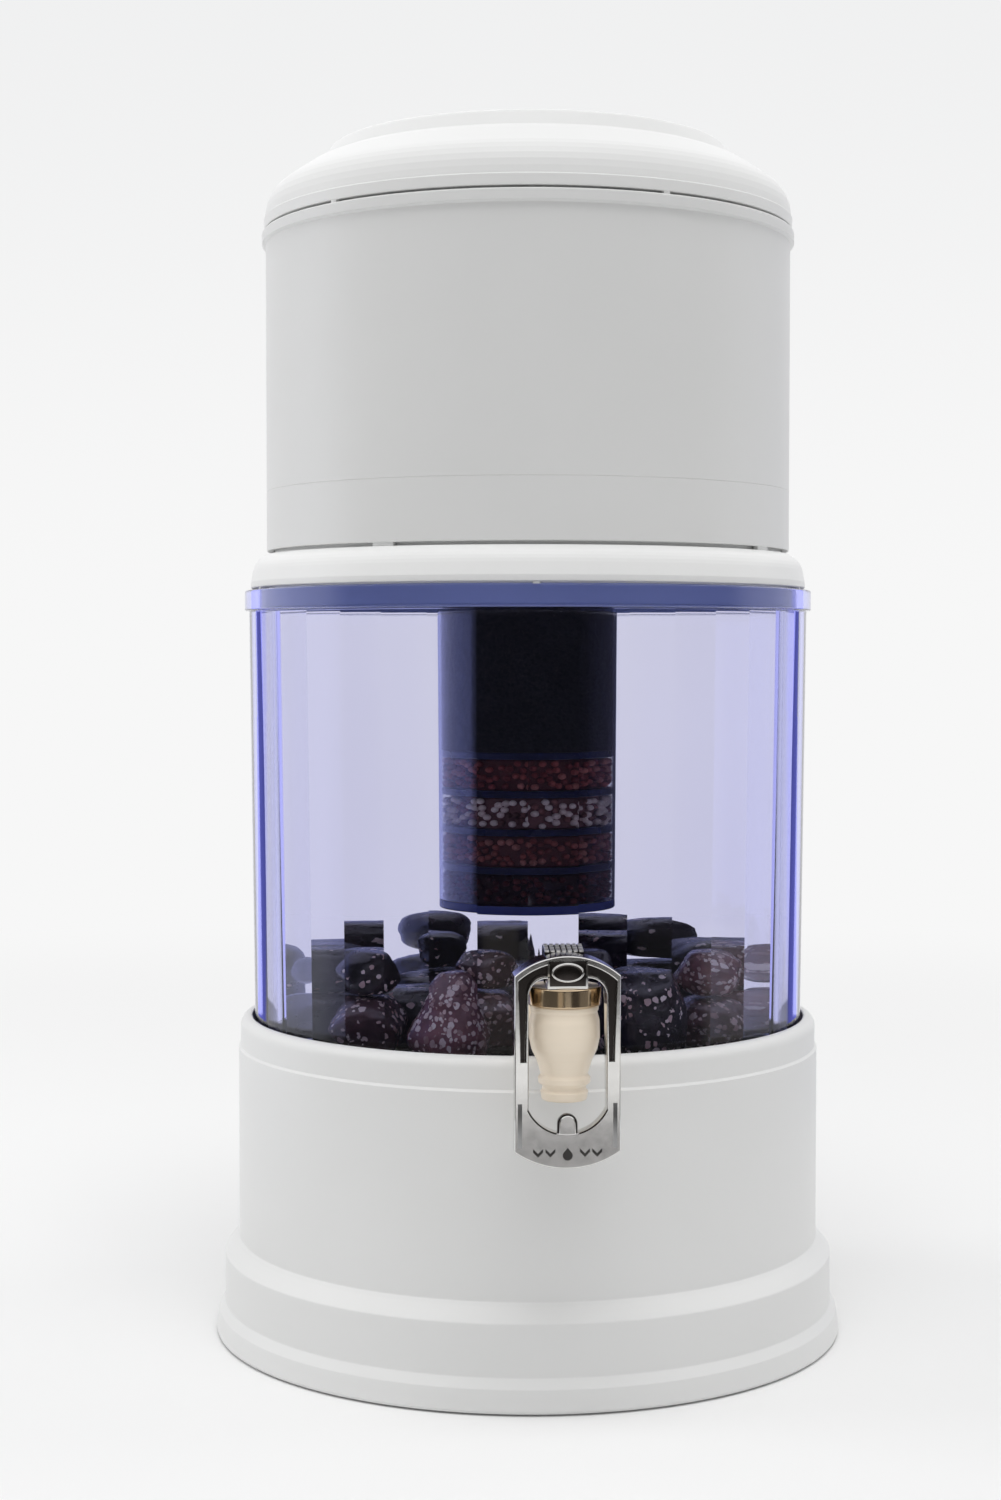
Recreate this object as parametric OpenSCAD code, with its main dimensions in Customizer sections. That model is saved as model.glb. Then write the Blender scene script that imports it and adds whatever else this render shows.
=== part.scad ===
// Gravity water filter: an upper tank with a ceramic dome drains through a hanging
// cartridge into a clear faceted tank, which stands on a hollow base and has a lever tap.
// The origin is on the axis at floor level. The tap faces -Y.

/* [Base] */
// Height of the base above the floor, with its feet
base_h = 141; // [125:1:160]
// Thickness of the base skirt and deck
base_wall = 3; // [2.5:0.5:4]
// Thickness of the rolled lip round the tank
lip_w = 6.2; // [5:0.1:8]
// Step from the wall out to the plinth
plinth_step = 6.3; // [4:0.1:9]
// Step from the plinth out to the foot
foot_step = 4; // [3:0.5:7]
// Height of the foot flange
foot_h = 10; // [7:0.5:12]
// Height of the plinth above the floor
plinth_h = 34.7; // [30:0.1:45]
// Depth of the seat that holds the clear tank
seat_depth = 14; // [10:0.5:18]
// Number of stiffening ribs under the deck
deck_ribs = 8; // [4:1:12]
// Depth of a stiffening rib
rib_h = 5; // [3:0.5:8]
// Distance from the edge of the foot in to the rubber ring under it
grip_inset = 3.5; // [2.5:0.5:5]
// Width of the rubber ring
grip_w = 12; // [8:0.5:14]
// Thickness of the rubber ring
grip_h = 2.4; // [2:0.1:3]
// Height that the rubber ring shows below the base
grip_show = 1; // [0.5:0.1:1.4]

/* [Clear tank] */
// Outer radius of the clear tank at its bottom
tank_r = 122.3; // [120:0.1:126]
// Gain in outer radius from the bottom to the rim
tank_flare = 2.1; // [1:0.1:3]
// Wall thickness at the bottom, at the middle of a facet
tank_wall = 8.4; // [7:0.1:10]
// Gain in inner radius from the floor to the mouth
cavity_flare = 3.1; // [1.5:0.1:4]
// Height of the clear tank
tank_h = 202.5; // [180:0.5:240]
// Thickness of its floor
tank_floor = 5; // [4:0.5:7]
// Number of flat facets inside
facets = 36; // [24:4:48]
// Height of the rim flange
rim_h = 8.9; // [7:0.1:12]
// Overhang of the rim flange
rim_out = 1.8; // [1:0.1:3]
// Inner radius of the round mouth, more than that of the facets
mouth_step = 3.2; // [2.5:0.1:4]
// Depth over which the facets run out below the rim
runout_h = 7; // [5:0.5:10]

/* [Collar] */
// Height of the collar ring
collar_h = 15; // [12:0.5:20]
// Height of the upright band at its foot
collar_band = 2.8; // [2:0.1:4]
// Gap between the collar and the tank rim
collar_gap = 1; // [0.6:0.1:1.6]
// Depth of the spigot in the tank mouth
spigot_h = 9; // [6:0.5:12]
// Wall thickness of the collar
collar_wall = 3; // [2.5:0.1:3.5]
// Number of spacer tabs under the collar, and under the lid
spacers = 5; // [3:1:8]
// Width of a spacer tab
spacer_w = 3; // [2:0.5:5]
// Bearing of the collar's first tab, in degrees from +X
collar_turn = -93.4; // [-180:0.1:180]

/* [Upper tank] */
// Step from the collar's edge in to the wall of the upper tank
upper_step = 7.1; // [6:0.1:9]
// Wall thickness of the upper tank
upper_wall = 3; // [2.5:0.1:4]
// Height of the upper tank
upper_h = 139.8; // [120:0.1:170]
// Height of its floor above its bottom edge
upper_floor_h = 23; // [20:0.5:28]
// Overhang of its top rim
upper_rim_out = 1.7; // [1:0.1:2]
// Height of its top rim
upper_rim_h = 5.3; // [4:0.1:8]
// Gap between the upper tank and the collar
upper_gap = 1.5; // [1:0.1:2]
// Number of feet that bridge the gap
upper_feet = 4; // [3:1:8]
// Bearing of the first foot, in degrees from +X
upper_turn = -125.7; // [-180:0.1:180]

/* [Lid] */
// Height of the lid from its edge to its top
lid_h = 39; // [35:0.5:46]
// Wall thickness of the lid
lid_wall = 2.6; // [2:0.1:3.2]
// Gap between the lid and the upper tank
lid_gap = 1.2; // [0.8:0.1:1.8]
// Height of the upright band round the lid
lid_band = 4.5; // [3.5:0.1:6]
// Radius of the raised disc on the lid
disc_r = 91; // [80:0.5:94]
// Height of the step up to the raised disc
disc_step = 7; // [5:0.5:9]
// Depth of the ring that centres the lid in the tank
lid_ring_h = 7; // [5:0.5:10]
// Bearing of the lid's first tab, in degrees from +X
lid_turn = -138.3; // [-180:0.1:180]

/* [Ceramic filter] */
// Outer radius of the ceramic dome
dome_r = 45; // [38:0.5:48]
// Height of the ceramic dome
dome_h = 78; // [60:1:85]
// Wall thickness of the ceramic dome
dome_wall = 9; // [6:0.5:11]
// Radius of the dome's plastic base
dome_base_r = 49; // [49:0.5:52]
// Thickness of the dome's plastic base
dome_base_h = 9; // [7:0.5:12]
// Radius of the threaded stem
stem_r = 6; // [5:0.25:7]
// Radius of the water way down the stem
stem_bore_r = 3; // [2:0.25:3.5]
// Thickness of the sealing washer
washer_h = 2; // [1.5:0.1:3]
// Thickness of the stem's nut
nut_h = 6; // [5:0.5:7]

/* [Cartridge] */
// Outer radius of the cartridge at its top
cart_r = 40.3; // [36:0.1:43]
// Loss of radius from its top to its bottom
cart_taper = 0.9; // [0:0.1:1.5]
// Wall thickness of the cartridge shell
cart_wall = 2; // [1.5:0.1:2.5]
// Depth of the cartridge below the upper tank's floor
cart_drop = 182.3; // [170:0.1:186]
// Thickness of the outlet plate
outlet_h = 3.9; // [3:0.1:5]
// Thickness of a separator disc
separator_h = 2.9; // [2:0.1:3.5]
// Height of a layer of mineral balls
layer_h = 13.8; // [11:0.1:14]
// Thickness of the cartridge's top cap
cart_cap_h = 7; // [6:0.5:8]
// Diameter of a mineral ball
ball_d = 4.2; // [3:0.1:6]

/* [Stones] */
// Across a mineral stone
stone_w = 38; // [30:0.5:39]
// Height of a low stone
stone_h = 25; // [20:0.5:26]
// Number of stones round the wall, with the place behind the tap left free
outer_stones = 14; // [10:1:14]
// Number of stones in the ring inside them
middle_stones = 7; // [5:1:7]

/* [Tap] */
// Height of the tap's shank above the tank's bottom
tap_rise = 31; // [30:0.5:40]
// Reach from the tank's outer wall to the tap's own axis
tap_reach = 37.4; // [32:0.1:50]
// Radius of the threaded shank
shank_r = 8; // [7:0.1:8.5]
// Radius of the water way through the shank
shank_bore_r = 4.5; // [3.5:0.1:5]
// Radius of the flange and of the two gaskets
flange_r = 13; // [12:0.1:14]
// Thickness of a tap gasket
gasket_h = 2; // [1.5:0.1:2.5]
// Thickness of the tap's nut
tap_nut_h = 8; // [6:0.5:10]
// Radius of the tap body at its bulge
bulge_r = 13.7; // [13:0.1:13.9]
// Radius of the neck under the cap
neck_r = 12.1; // [11.6:0.1:12.4]
// Radius of the spout
spout_r = 9.2; // [8.5:0.1:9.8]
// Radius of the bore down the spout
spout_bore_r = 5; // [4:0.1:5.4]
// Drop from the shank's axis to the end of the spout
spout_drop = 27.7; // [26:0.1:28.2]
// Radius of the chrome cap
cap_r = 14.3; // [13.9:0.1:14.5]
// Height of the chrome cap
cap_h = 7.3; // [6:0.1:8]
// Radius of the valve stem
valve_stem_r = 2.5; // [2.2:0.1:3]
// Radius of the spring's coil, to the middle of its wire
spring_r = 5.2; // [4.4:0.1:6]
// Radius of the spring's wire
wire_r = 0.45; // [0.3:0.05:0.6]
// Number of turns in the spring
spring_turns = 6; // [4:1:8]

/* [Lever] */
// Width of the lever frame
lever_w = 40.6; // [40:0.1:46]
// Height of the lever frame
lever_h = 81.3; // [80:0.1:84]
// Width of the opening in the frame
opening_w = 29.8; // [29.4:0.1:31]
// Depth of the frame at its head, from front to back
lever_depth = 14.5; // [13:0.1:17]
// Distance from the pin forward to the heel that lifts the valve
heel_arm = 12; // [10:0.1:12.4]
// Width of the hub block
hub_w = 15.6; // [13:0.1:18]
// Radius of the pin
pin_r = 1.2; // [1:0.05:1.4]
// Number of ribs on the thumb pad
pad_ribs = 7; // [4:1:8]
// Width of the tongue at the foot of the opening
tongue_w = 7.6; // [5:0.1:10]

/* [Clearances] */
// Gap round the clear tank in its seat
seat_fit = 1.2; // [0.8:0.1:2]
// Gap round the collar's spigot and the lid's ring
drop_fit = 0.6; // [0.4:0.1:1]
// Radial clearance of a running fit
run_fit = 0.06; // [0.02:0.01:0.1]
// Radial clearance of a piece that is fixed in its hole
fixed_fit = 0.05; // [0.02:0.01:0.1]
// Gap round the shank in the tank's hole
hole_fit = 0.3; // [0.2:0.05:0.6]
// Gap between the lever's heel and the cap that it stands on
heel_fit = 0.05; // [0.02:0.01:0.2]

/* [Hidden] */
$fn = 120;
tiny = 0.01;
white = [0.93, 0.93, 0.93];
clear_blue = [0.62, 0.62, 0.9, 0.4];
silicone = [0.85, 0.86, 0.88];
ivory = [0.93, 0.88, 0.78];
chrome = [0.8, 0.8, 0.82];

// Levels, from the floor up
seat_z = base_h - seat_depth;
tank_top_z = seat_z + tank_h;
floor_z = seat_z + tank_floor;
collar_z = tank_top_z + collar_gap;
collar_top_z = collar_z + collar_h;
upper_z = collar_top_z + upper_gap;
upper_floor_z = upper_z + upper_floor_h;
upper_top_z = upper_z + upper_h;
lid_z = upper_top_z + lid_gap;

// Radii, from the clear tank outward and inward
seat_r = tank_r + seat_fit;
wall_r = seat_r + lip_w;
plinth_r = wall_r + plinth_step;
foot_r = plinth_r + foot_step;
rim_r = tank_r + tank_flare + rim_out;
cavity_r = tank_r - tank_wall;
cavity_top_r = cavity_r + cavity_flare;
mouth_r = cavity_top_r + mouth_step;
spigot_r = mouth_r - drop_fit;
collar_r = rim_r - 2.7;
upper_r = collar_r - upper_step;
upper_in_r = upper_r - upper_wall;

// Outer radius of the clear tank, and half the width across its facets, at a height z
function tank_out(z) = tank_r + tank_flare * (z - seat_z) / tank_h;
function tank_in(z) = cavity_r + cavity_flare * (z - floor_z) / (tank_h - tank_floor);

// Outer radius of the cartridge at a height z
cart_bottom_z = upper_floor_z - cart_drop;
shell_bottom_z = cart_bottom_z + outlet_h;
stem_nut_z = upper_floor_z - upper_wall - nut_h;
cart_cap_z = stem_nut_z - cart_cap_h;
function cart_out(z) = cart_r - cart_taper * (cart_cap_z - z) / (cart_cap_z - shell_bottom_z);
function cart_in(z) = cart_out(z) - cart_wall - fixed_fit;
layer_step = layer_h + separator_h;
function layer_z(i) = shell_bottom_z + i * layer_step;

// Places in the tap, from the crossing of its own axis and the shank's
tap_z = seat_z + tap_rise;
tap_axis_r = tank_out(tap_z) + tap_reach;
land_out_r = tank_out(tap_z) - 1.1;
land_in_r = tank_in(tap_z) + 0.4;
neck_top = 14.3;
cap_roof = 2.2;
cap_top = neck_top + cap_roof;
chamber_r = 8.6;
chamber_floor = -9;
valve_seat = chamber_floor + 1;
seal_h = 3;
seal_skin = 0.8;
barb_r = 1.5;
seal_top = valve_seat + seal_h;
spring_seat = seal_top + 1.5;
pin_rise = cap_top + 6;
stem_top = pin_rise + valve_stem_r;
lever_front = -heel_arm - 1;
lever_crown = pin_rise + 6.8;
lever_bottom = lever_crown - lever_h;

// Direction from point a to point b
function toward(a, b) = (b - a) / norm(b - a);

// Points that round one corner, given its neighbours; c[2] is the radius
function corner_arc(a, c, b, steps) =
    let (
        p = [c[0], c[1]],
        u = toward(p, [a[0], a[1]]),
        v = toward(p, [b[0], b[1]]),
        half = acos(u * v) / 2,
        centre = p + toward([0, 0], u + v) * c[2] / sin(half),
        start = p + u * c[2] / tan(half) - centre,
        side = sign(u[0] * v[1] - u[1] * v[0]),
        sweep = -side * (180 - 2 * half)
    )
    [for (i = [0:steps])
        let (t = sweep * i / steps)
        centre + [start[0] * cos(t) - start[1] * sin(t), start[0] * sin(t) + start[1] * cos(t)]];

// A closed outline of corners [x, y, radius]; a radius of 0 leaves the corner sharp
function rounded(corners, steps = 5) =
    let (n = len(corners))
    [for (i = [0:n - 1])
        let (c = corners[i])
        each (c[2] == 0)
            ? [[c[0], c[1]]]
            : corner_arc(corners[(i + n - 1) % n], c, corners[(i + 1) % n], steps)];

module revolve(corners, steps = 5) {
    rotate_extrude() polygon(rounded(corners, steps));
}

// Puts a child at each of count places round the axis
module ring(count, radius, first = 0) {
    for (i = [0:count - 1]) {
        rotate([0, 0, first + i * 360 / count]) translate([radius, 0, 0]) children();
    }
}

// A block from the floor of its own frame, centred in width
module block(length, width, height) {
    translate([0, -width / 2, 0]) cube([length, width, height]);
}

// ---------- Base ----------

grip_r = foot_r - grip_inset;
grip_in_r = grip_r - grip_w;
deck_z = seat_z - base_wall;

module base_stand() {
    wall_in = wall_r - base_wall;
    rib_z = deck_z - rib_h;
    color(white) {
        revolve([
            [0, deck_z, 0], [wall_in, deck_z, 0],
            [wall_in, plinth_h + 6, 0], [plinth_r - base_wall, plinth_h - 2, 0],
            [plinth_r - base_wall, grip_show + 3, 0], [grip_in_r - 3, grip_show + 3, 0],
            [grip_in_r - 3, grip_show, 0], [grip_in_r - run_fit, grip_show, 0],
            [grip_in_r - run_fit, grip_h, 0], [grip_r + run_fit, grip_h, 0],
            [grip_r + run_fit, grip_show, 0], [foot_r - 0.4, grip_show, 0],
            [foot_r, grip_show + 1, 0], [foot_r - 1.6, foot_h, 1.4], [plinth_r + 0.3, foot_h + 2.2, 1.2],
            [plinth_r, plinth_h, 3], [wall_r + 1.3, plinth_h + 6.8, 2.5], [wall_r, plinth_h + 9.5, 2],
            [wall_r, seat_z, 0], [wall_r - 0.9, seat_z + 1, 0], [wall_r - 0.9, base_h, 4.5],
            [seat_r, base_h, 0.8], [seat_r, seat_z, 1], [0, seat_z, 0]
        ]);
        intersection() {
            ring(deck_ribs, 0) block(wall_in + 0.5, 2, deck_z + 1);
            rotate_extrude() polygon([
                [30, deck_z + 1], [30, rib_z], [wall_in - 10, rib_z], [wall_in, rib_z - 10],
                [wall_in + 0.5, rib_z - 10], [wall_in + 0.5, deck_z + 1]
            ]);
        }
    }
}

module rubber_ring() {
    color([0.12, 0.12, 0.12]) rotate_extrude() polygon(rounded([
        [grip_in_r, 0, 0.5], [grip_r, 0, 0.5], [grip_r, grip_h, 0], [grip_in_r, grip_h, 0]
    ]));
}

// ---------- Clear tank ----------

// The outline across the facets, with half the width across flats
function facet_outline(flat_r) =
    [for (i = [0:facets - 1])
        let (a = (i + 0.5) * 360 / facets - 90)
        flat_r / cos(180 / facets) * [cos(a), sin(a)]];

module clear_tank() {
    color(clear_blue) difference() {
        revolve([
            [0, seat_z, 0], [tank_r, seat_z, 2], [tank_out(tank_top_z - rim_h), tank_top_z - rim_h, 0],
            [rim_r, tank_top_z - rim_h, 0.6], [rim_r, tank_top_z, 0.6], [0, tank_top_z, 0]
        ]);
        translate([0, 0, floor_z])
            linear_extrude(height = tank_h - tank_floor + tiny, scale = cavity_top_r / cavity_r)
                polygon(facet_outline(cavity_r));
        translate([0, 0, tank_top_z - rim_h - runout_h])
            cylinder(r1 = tank_in(tank_top_z - rim_h - runout_h) - tiny, r2 = mouth_r, h = runout_h + 3);
        translate([0, 0, tank_top_z - rim_h + 3 - tiny]) cylinder(r = mouth_r, h = rim_h);
        translate([0, 0, tap_z]) rotate([90, 0, 0]) {
            cylinder(r = shank_r + hole_fit, h = rim_r + 1);
            translate([0, 0, land_out_r]) cylinder(r = flange_r + 1, h = 10);
            translate([0, 0, land_in_r - 10]) cylinder(r = flange_r + 1.5, h = 10);
        }
    }
}

// A broken stone that lies on a flat face and keeps within its own round place
module stone(width, height, turn) {
    reach = height * 1.06;
    intersection() {
        cylinder(r = width / 2, h = height, $fn = 24);
        translate([0, 0, height / 2]) rotate([20 + turn, 35 - turn, 3 * turn]) cube(reach, center = true);
        translate([0, 0, height / 2]) rotate([50 - turn, 12, 60 + 5 * turn])
            cube(1.12 * reach, center = true);
    }
}

outer_stone_r = tank_in(floor_z) - stone_w / 2 - 3;
middle_stone_r = outer_stone_r - stone_w - 3;
tall_stone_h = 1.55 * stone_h;
stone_lie = 0.1;

module mineral_stones() {
    color([0.2, 0.09, 0.1]) translate([0, 0, floor_z]) {
        for (i = [1:outer_stones - 1]) {
            tall = i % 3 == 1;
            height = tall ? tall_stone_h : stone_h - i % 4;
            rotate([0, 0, i * 360 / outer_stones - 90]) translate([outer_stone_r, 0, 0]) {
                stone(stone_w, height, 7 * (i % 5));
                if (!tall) {
                    translate([0, 0, height + stone_lie]) stone(0.8 * stone_w, 0.8 * stone_h, 5 * (i % 7));
                }
            }
        }
        for (i = [0:middle_stones - 1]) {
            height = stone_h - i % 3;
            rotate([0, 0, (i + 0.5) * 360 / middle_stones - 90]) translate([middle_stone_r, 0, 0]) {
                stone(stone_w, height, 6 * (i % 4));
                if (i % 2 == 0) {
                    translate([0, 0, height + stone_lie]) stone(0.8 * stone_w, 0.7 * stone_h, 4 * i);
                }
            }
        }
        stone(stone_w, stone_h, 9);
    }
}

// ---------- Collar ----------

module collar_ring() {
    lip_top = upper_z + 4;
    ring_r = upper_in_r - drop_fit;
    color(white) {
        revolve([
            [spigot_r - collar_wall, collar_z - spigot_h, 0], [spigot_r, collar_z - spigot_h, 0.8],
            [spigot_r, collar_z, 0], [collar_r - 0.4, collar_z, 0], [collar_r, collar_z + 0.4, 0],
            [collar_r, collar_z + collar_band, 0.4], [collar_r - 1.8, collar_top_z - 3, 9],
            [upper_r, collar_top_z, 1.4], [ring_r, collar_top_z, 0], [ring_r, lip_top, 0.8],
            [ring_r - 2, lip_top, 0.8], [ring_r - 2, collar_top_z - collar_wall, 0],
            [spigot_r - collar_wall, collar_top_z - collar_wall, 2]
        ]);
        intersection() {
            ring(spacers, 0, collar_turn)
                translate([0, 0, collar_z - collar_gap])
                    block(collar_r, spacer_w, collar_gap + tiny);
            rotate_extrude() translate([spigot_r, 0]) square([collar_r - 0.4 - spigot_r, collar_top_z]);
        }
    }
}

// ---------- Upper tank ----------

module upper_tank() {
    rim = upper_r + upper_rim_out;
    color(white) difference() {
        union() {
            revolve([
                [0, upper_floor_z - upper_wall, 0], [upper_in_r, upper_floor_z - upper_wall, 1.5],
                [upper_in_r, upper_z, 0], [upper_r - 0.3, upper_z, 0], [upper_r, upper_z + 0.3, 0],
                [upper_r, upper_top_z - upper_rim_h, 0.3], [rim, upper_top_z - upper_rim_h + 0.6, 0.5],
                [rim, upper_top_z, 0.8], [upper_in_r, upper_top_z, 0.8], [upper_in_r, upper_floor_z, 3],
                [0, upper_floor_z, 0]
            ]);
            intersection() {
                ring(upper_feet, 0, upper_turn)
                    translate([0, 0, collar_top_z])
                        block(upper_r, 10, upper_gap + tiny);
                rotate_extrude() translate([upper_in_r, 0]) square([upper_wall - 0.5, upper_top_z]);
            }
        }
        cylinder(r = stem_r + hole_fit, h = upper_top_z);
    }
}

// ---------- Lid ----------

// The lid's outline, from its foot up to the middle of its top, at a distance inside its skin
function lid_outline(inset) =
    let (
        edge = upper_r + upper_rim_out - 0.8 - inset,
        top = lid_z + lid_h - inset,
        step = top - 2.5 - disc_step
    )
    [
        [edge, lid_z + lid_band, 0.3], [edge - 1.6, step - 14, 16], [disc_r + 7, step - 2.2, 10],
        [disc_r + 1, step, 1.5], [disc_r - 3.5, step + disc_step, 3], [0, top, 0]
    ];

module lid() {
    edge = upper_r + upper_rim_out - 1.1;
    ring_r = upper_in_r - drop_fit;
    ring_in = ring_r - lid_wall;
    tab_in = upper_in_r + 0.9;
    color(white) {
        difference() {
            revolve(concat([[0, lid_z, 0], [edge, lid_z, 0.4]], lid_outline(0)));
            revolve(concat(
                [[0, lid_z - 1, 0], [ring_in, lid_z - 1, 0], [ring_in, lid_z + lid_band, 0]],
                [for (c = lid_outline(lid_wall)) [min(c[0], ring_in), c[1], 0]]
            ));
        }
        rotate_extrude() polygon(rounded([
            [ring_in, lid_z + tiny, 0], [ring_in, lid_z - lid_ring_h, 0.6],
            [ring_r, lid_z - lid_ring_h, 1], [ring_r, lid_z + tiny, 0]
        ]));
        intersection() {
            ring(spacers, 0, lid_turn) translate([0, 0, upper_top_z]) block(edge, spacer_w, lid_gap + tiny);
            rotate_extrude() translate([tab_in, 0]) square([edge - 0.5 - tab_in, 2 * lid_z]);
        }
    }
}

// ---------- Ceramic filter ----------

washer_top_z = upper_floor_z + washer_h;
dome_z = washer_top_z + dome_base_h;

module ceramic_dome() {
    shoulder = dome_h - dome_r;
    color([0.95, 0.94, 0.9]) translate([0, 0, dome_z]) difference() {
        union() {
            cylinder(r = dome_r, h = shoulder);
            translate([0, 0, shoulder]) sphere(r = dome_r);
        }
        translate([0, 0, -dome_r]) cylinder(r = 2 * dome_r, h = dome_r);
        translate([0, 0, -tiny]) cylinder(r = dome_r - dome_wall, h = shoulder + tiny);
        translate([0, 0, shoulder]) sphere(r = dome_r - dome_wall);
    }
}

module dome_base() {
    color([0.3, 0.45, 0.75]) difference() {
        union() {
            revolve([
                [0, washer_top_z, 0], [dome_base_r, washer_top_z, 1.5], [dome_base_r, dome_z + 3, 1],
                [dome_r + 0.5, dome_z + 3, 0], [dome_r + 0.5, dome_z, 0], [0, dome_z, 0]
            ]);
            translate([0, 0, cart_cap_z + 1.5]) cylinder(r = stem_r, h = washer_top_z - cart_cap_z);
        }
        cylinder(r = stem_bore_r, h = dome_z + 1);
    }
}

module dome_washer() {
    color(silicone) translate([0, 0, upper_floor_z]) difference() {
        cylinder(r = 3 * stem_r, h = washer_h);
        translate([0, 0, -1]) cylinder(r = stem_r + run_fit, h = washer_h + 2);
    }
}

// A six-sided nut with a round bore, standing on its own floor
module hex_nut(across, height, bore_r) {
    difference() {
        cylinder(r = across / 2 / cos(30), h = height, $fn = 6);
        translate([0, 0, -1]) cylinder(r = bore_r, h = height + 2);
    }
}

module stem_nut() {
    color(white) translate([0, 0, stem_nut_z]) hex_nut(4 * stem_r, nut_h, stem_r + fixed_fit);
}

// ---------- Cartridge ----------

module cartridge_cap() {
    color([0.25, 0.38, 0.7]) difference() {
        revolve([
            [0, cart_cap_z, 0], [cart_r, cart_cap_z, 0], [cart_r, cart_cap_z + 3, 1.5],
            [2.4 * stem_r, stem_nut_z, 2], [0, stem_nut_z, 0]
        ]);
        cylinder(r = stem_r + fixed_fit, h = stem_nut_z + 1);
    }
}

module cap_seal() {
    inner_r = cart_in(cart_cap_z) - 3;
    color(silicone) translate([0, 0, cart_cap_z - 2]) difference() {
        cylinder(r = cart_in(cart_cap_z - 2), h = 2);
        translate([0, 0, -1]) cylinder(r = inner_r, h = 4);
    }
}

module cartridge_shell() {
    color([0.75, 0.78, 0.9, 0.35]) rotate_extrude() polygon([
        [cart_out(shell_bottom_z) - cart_wall, shell_bottom_z],
        [cart_out(shell_bottom_z), shell_bottom_z],
        [cart_r, cart_cap_z], [cart_r - cart_wall, cart_cap_z]
    ]);
}

// A bed of granules between two levels, its edge in rows as the balls lie
module ball_bed(z0, z1) {
    rows = max(1, floor((z1 - z0) / ball_d));
    row_h = (z1 - z0) / rows;
    bead = row_h / 2;
    rotate_extrude() {
        polygon([[0, z0], [cart_in(z0) - bead, z0], [cart_in(z1) - bead, z1], [0, z1]]);
        for (i = [0:rows - 1]) {
            z = z0 + (i + 0.5) * row_h;
            translate([cart_in(z - bead) - bead, z]) circle(r = bead - tiny);
        }
    }
}

module ball_layer(i) {
    ball_bed(layer_z(i), layer_z(i) + layer_h);
}

module carbon_fill() {
    z0 = layer_z(4);
    z1 = cart_cap_z - 2;
    color([0.05, 0.05, 0.07]) rotate_extrude()
        polygon([[0, z0], [cart_in(z0), z0], [cart_in(z1), z1], [0, z1]]);
}

module red_ball_layer() {
    color([0.45, 0.2, 0.18]) ball_layer(3);
}

module white_ball_layer() {
    color([0.75, 0.6, 0.55]) ball_layer(2);
}

module brown_ball_layer() {
    color([0.4, 0.2, 0.15]) ball_layer(1);
}

module maroon_ball_layer() {
    color([0.3, 0.06, 0.08]) ball_layer(0);
}

module separator_discs() {
    color([0.15, 0.2, 0.45]) for (i = [0:3]) {
        z = layer_z(i) + layer_h;
        translate([0, 0, z]) difference() {
            cylinder(r = cart_in(z), h = separator_h);
            ring(8, 0.7 * cart_in(z)) translate([0, 0, -1]) cylinder(r = 2, h = separator_h + 2);
            ring(5, 0.35 * cart_in(z)) translate([0, 0, -1]) cylinder(r = 2, h = separator_h + 2);
        }
    }
}

module cartridge_outlet() {
    outlet_r = cart_out(shell_bottom_z);
    color([0.2, 0.25, 0.6]) translate([0, 0, cart_bottom_z]) difference() {
        rotate_extrude() polygon(rounded([
            [0, 0, 0], [outlet_r, 0, 1], [outlet_r, outlet_h, 0], [0, outlet_h, 0]
        ]));
        ring(12, 0.75 * outlet_r) translate([0, 0, -1]) cylinder(r = 2.2, h = outlet_h + 2);
        ring(6, 0.4 * outlet_r) translate([0, 0, -1]) cylinder(r = 2.2, h = outlet_h + 2);
    }
}

// ---------- Tap ----------

// The tap's own frame: +Z up its axis, and +Y back along the shank to the tank
module at_tap() {
    translate([0, -tap_axis_r, tap_z]) children();
}

// Turns a piece so that its height runs back along the shank from a radius of the tank
module along_shank(radius) {
    translate([0, -radius, tap_z]) rotate([-90, 0, 0]) children();
}

flange_h = 3;
outer_gasket_r = land_out_r + gasket_h;
shank_end_r = land_in_r - gasket_h - tap_nut_h - 4;

module tap_body() {
    color(ivory) difference() {
        union() {
            at_tap() revolve([
                [0, neck_top, 0], [neck_r, neck_top, 0.4], [neck_r, 8.6, 1], [bulge_r, 5.2, 3],
                [bulge_r, -1, 7], [spout_r, -14, 7], [spout_r - 0.1, -17.6, 0.8], [spout_r + 0.5, -19.8, 1],
                [spout_r - 1.1, -22, 0.6], [spout_r - 0.4, -24.4, 0.8], [spout_r - 0.5, -spout_drop, 1],
                [0, -spout_drop, 0]
            ]);
            along_shank(tap_axis_r) cylinder(r = shank_r, h = tap_axis_r - shank_end_r);
            along_shank(tap_axis_r) cylinder(r = shank_r + 1.5, h = tap_axis_r - outer_gasket_r);
            along_shank(outer_gasket_r + flange_h) cylinder(r = flange_r, h = flange_h);
        }
        at_tap() {
            translate([0, 0, chamber_floor]) cylinder(r = chamber_r, h = 60);
            translate([0, 0, -spout_drop - 1]) cylinder(r = spout_bore_r, h = 60);
        }
        along_shank(tap_axis_r) cylinder(r = shank_bore_r, h = tap_axis_r);
    }
    color(ivory) at_tap() translate([0, 0, chamber_floor - tiny]) difference() {
        cylinder(r = spout_bore_r + 1.4, h = valve_seat - chamber_floor + tiny);
        translate([0, 0, -1]) cylinder(r = spout_bore_r, h = 5);
    }
}

module tap_cap() {
    skirt_z = cap_top - cap_h;
    color(chrome) at_tap() difference() {
        revolve([
            [0, skirt_z, 0], [cap_r, skirt_z, 0.5], [cap_r, cap_top, 0.7], [0, cap_top, 0]
        ]);
        translate([0, 0, skirt_z - 1])
            cylinder(r = neck_r + fixed_fit, h = neck_top + fixed_fit - skirt_z + 1);
        cylinder(r = valve_stem_r + run_fit, h = 2 * cap_top);
    }
}

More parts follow.
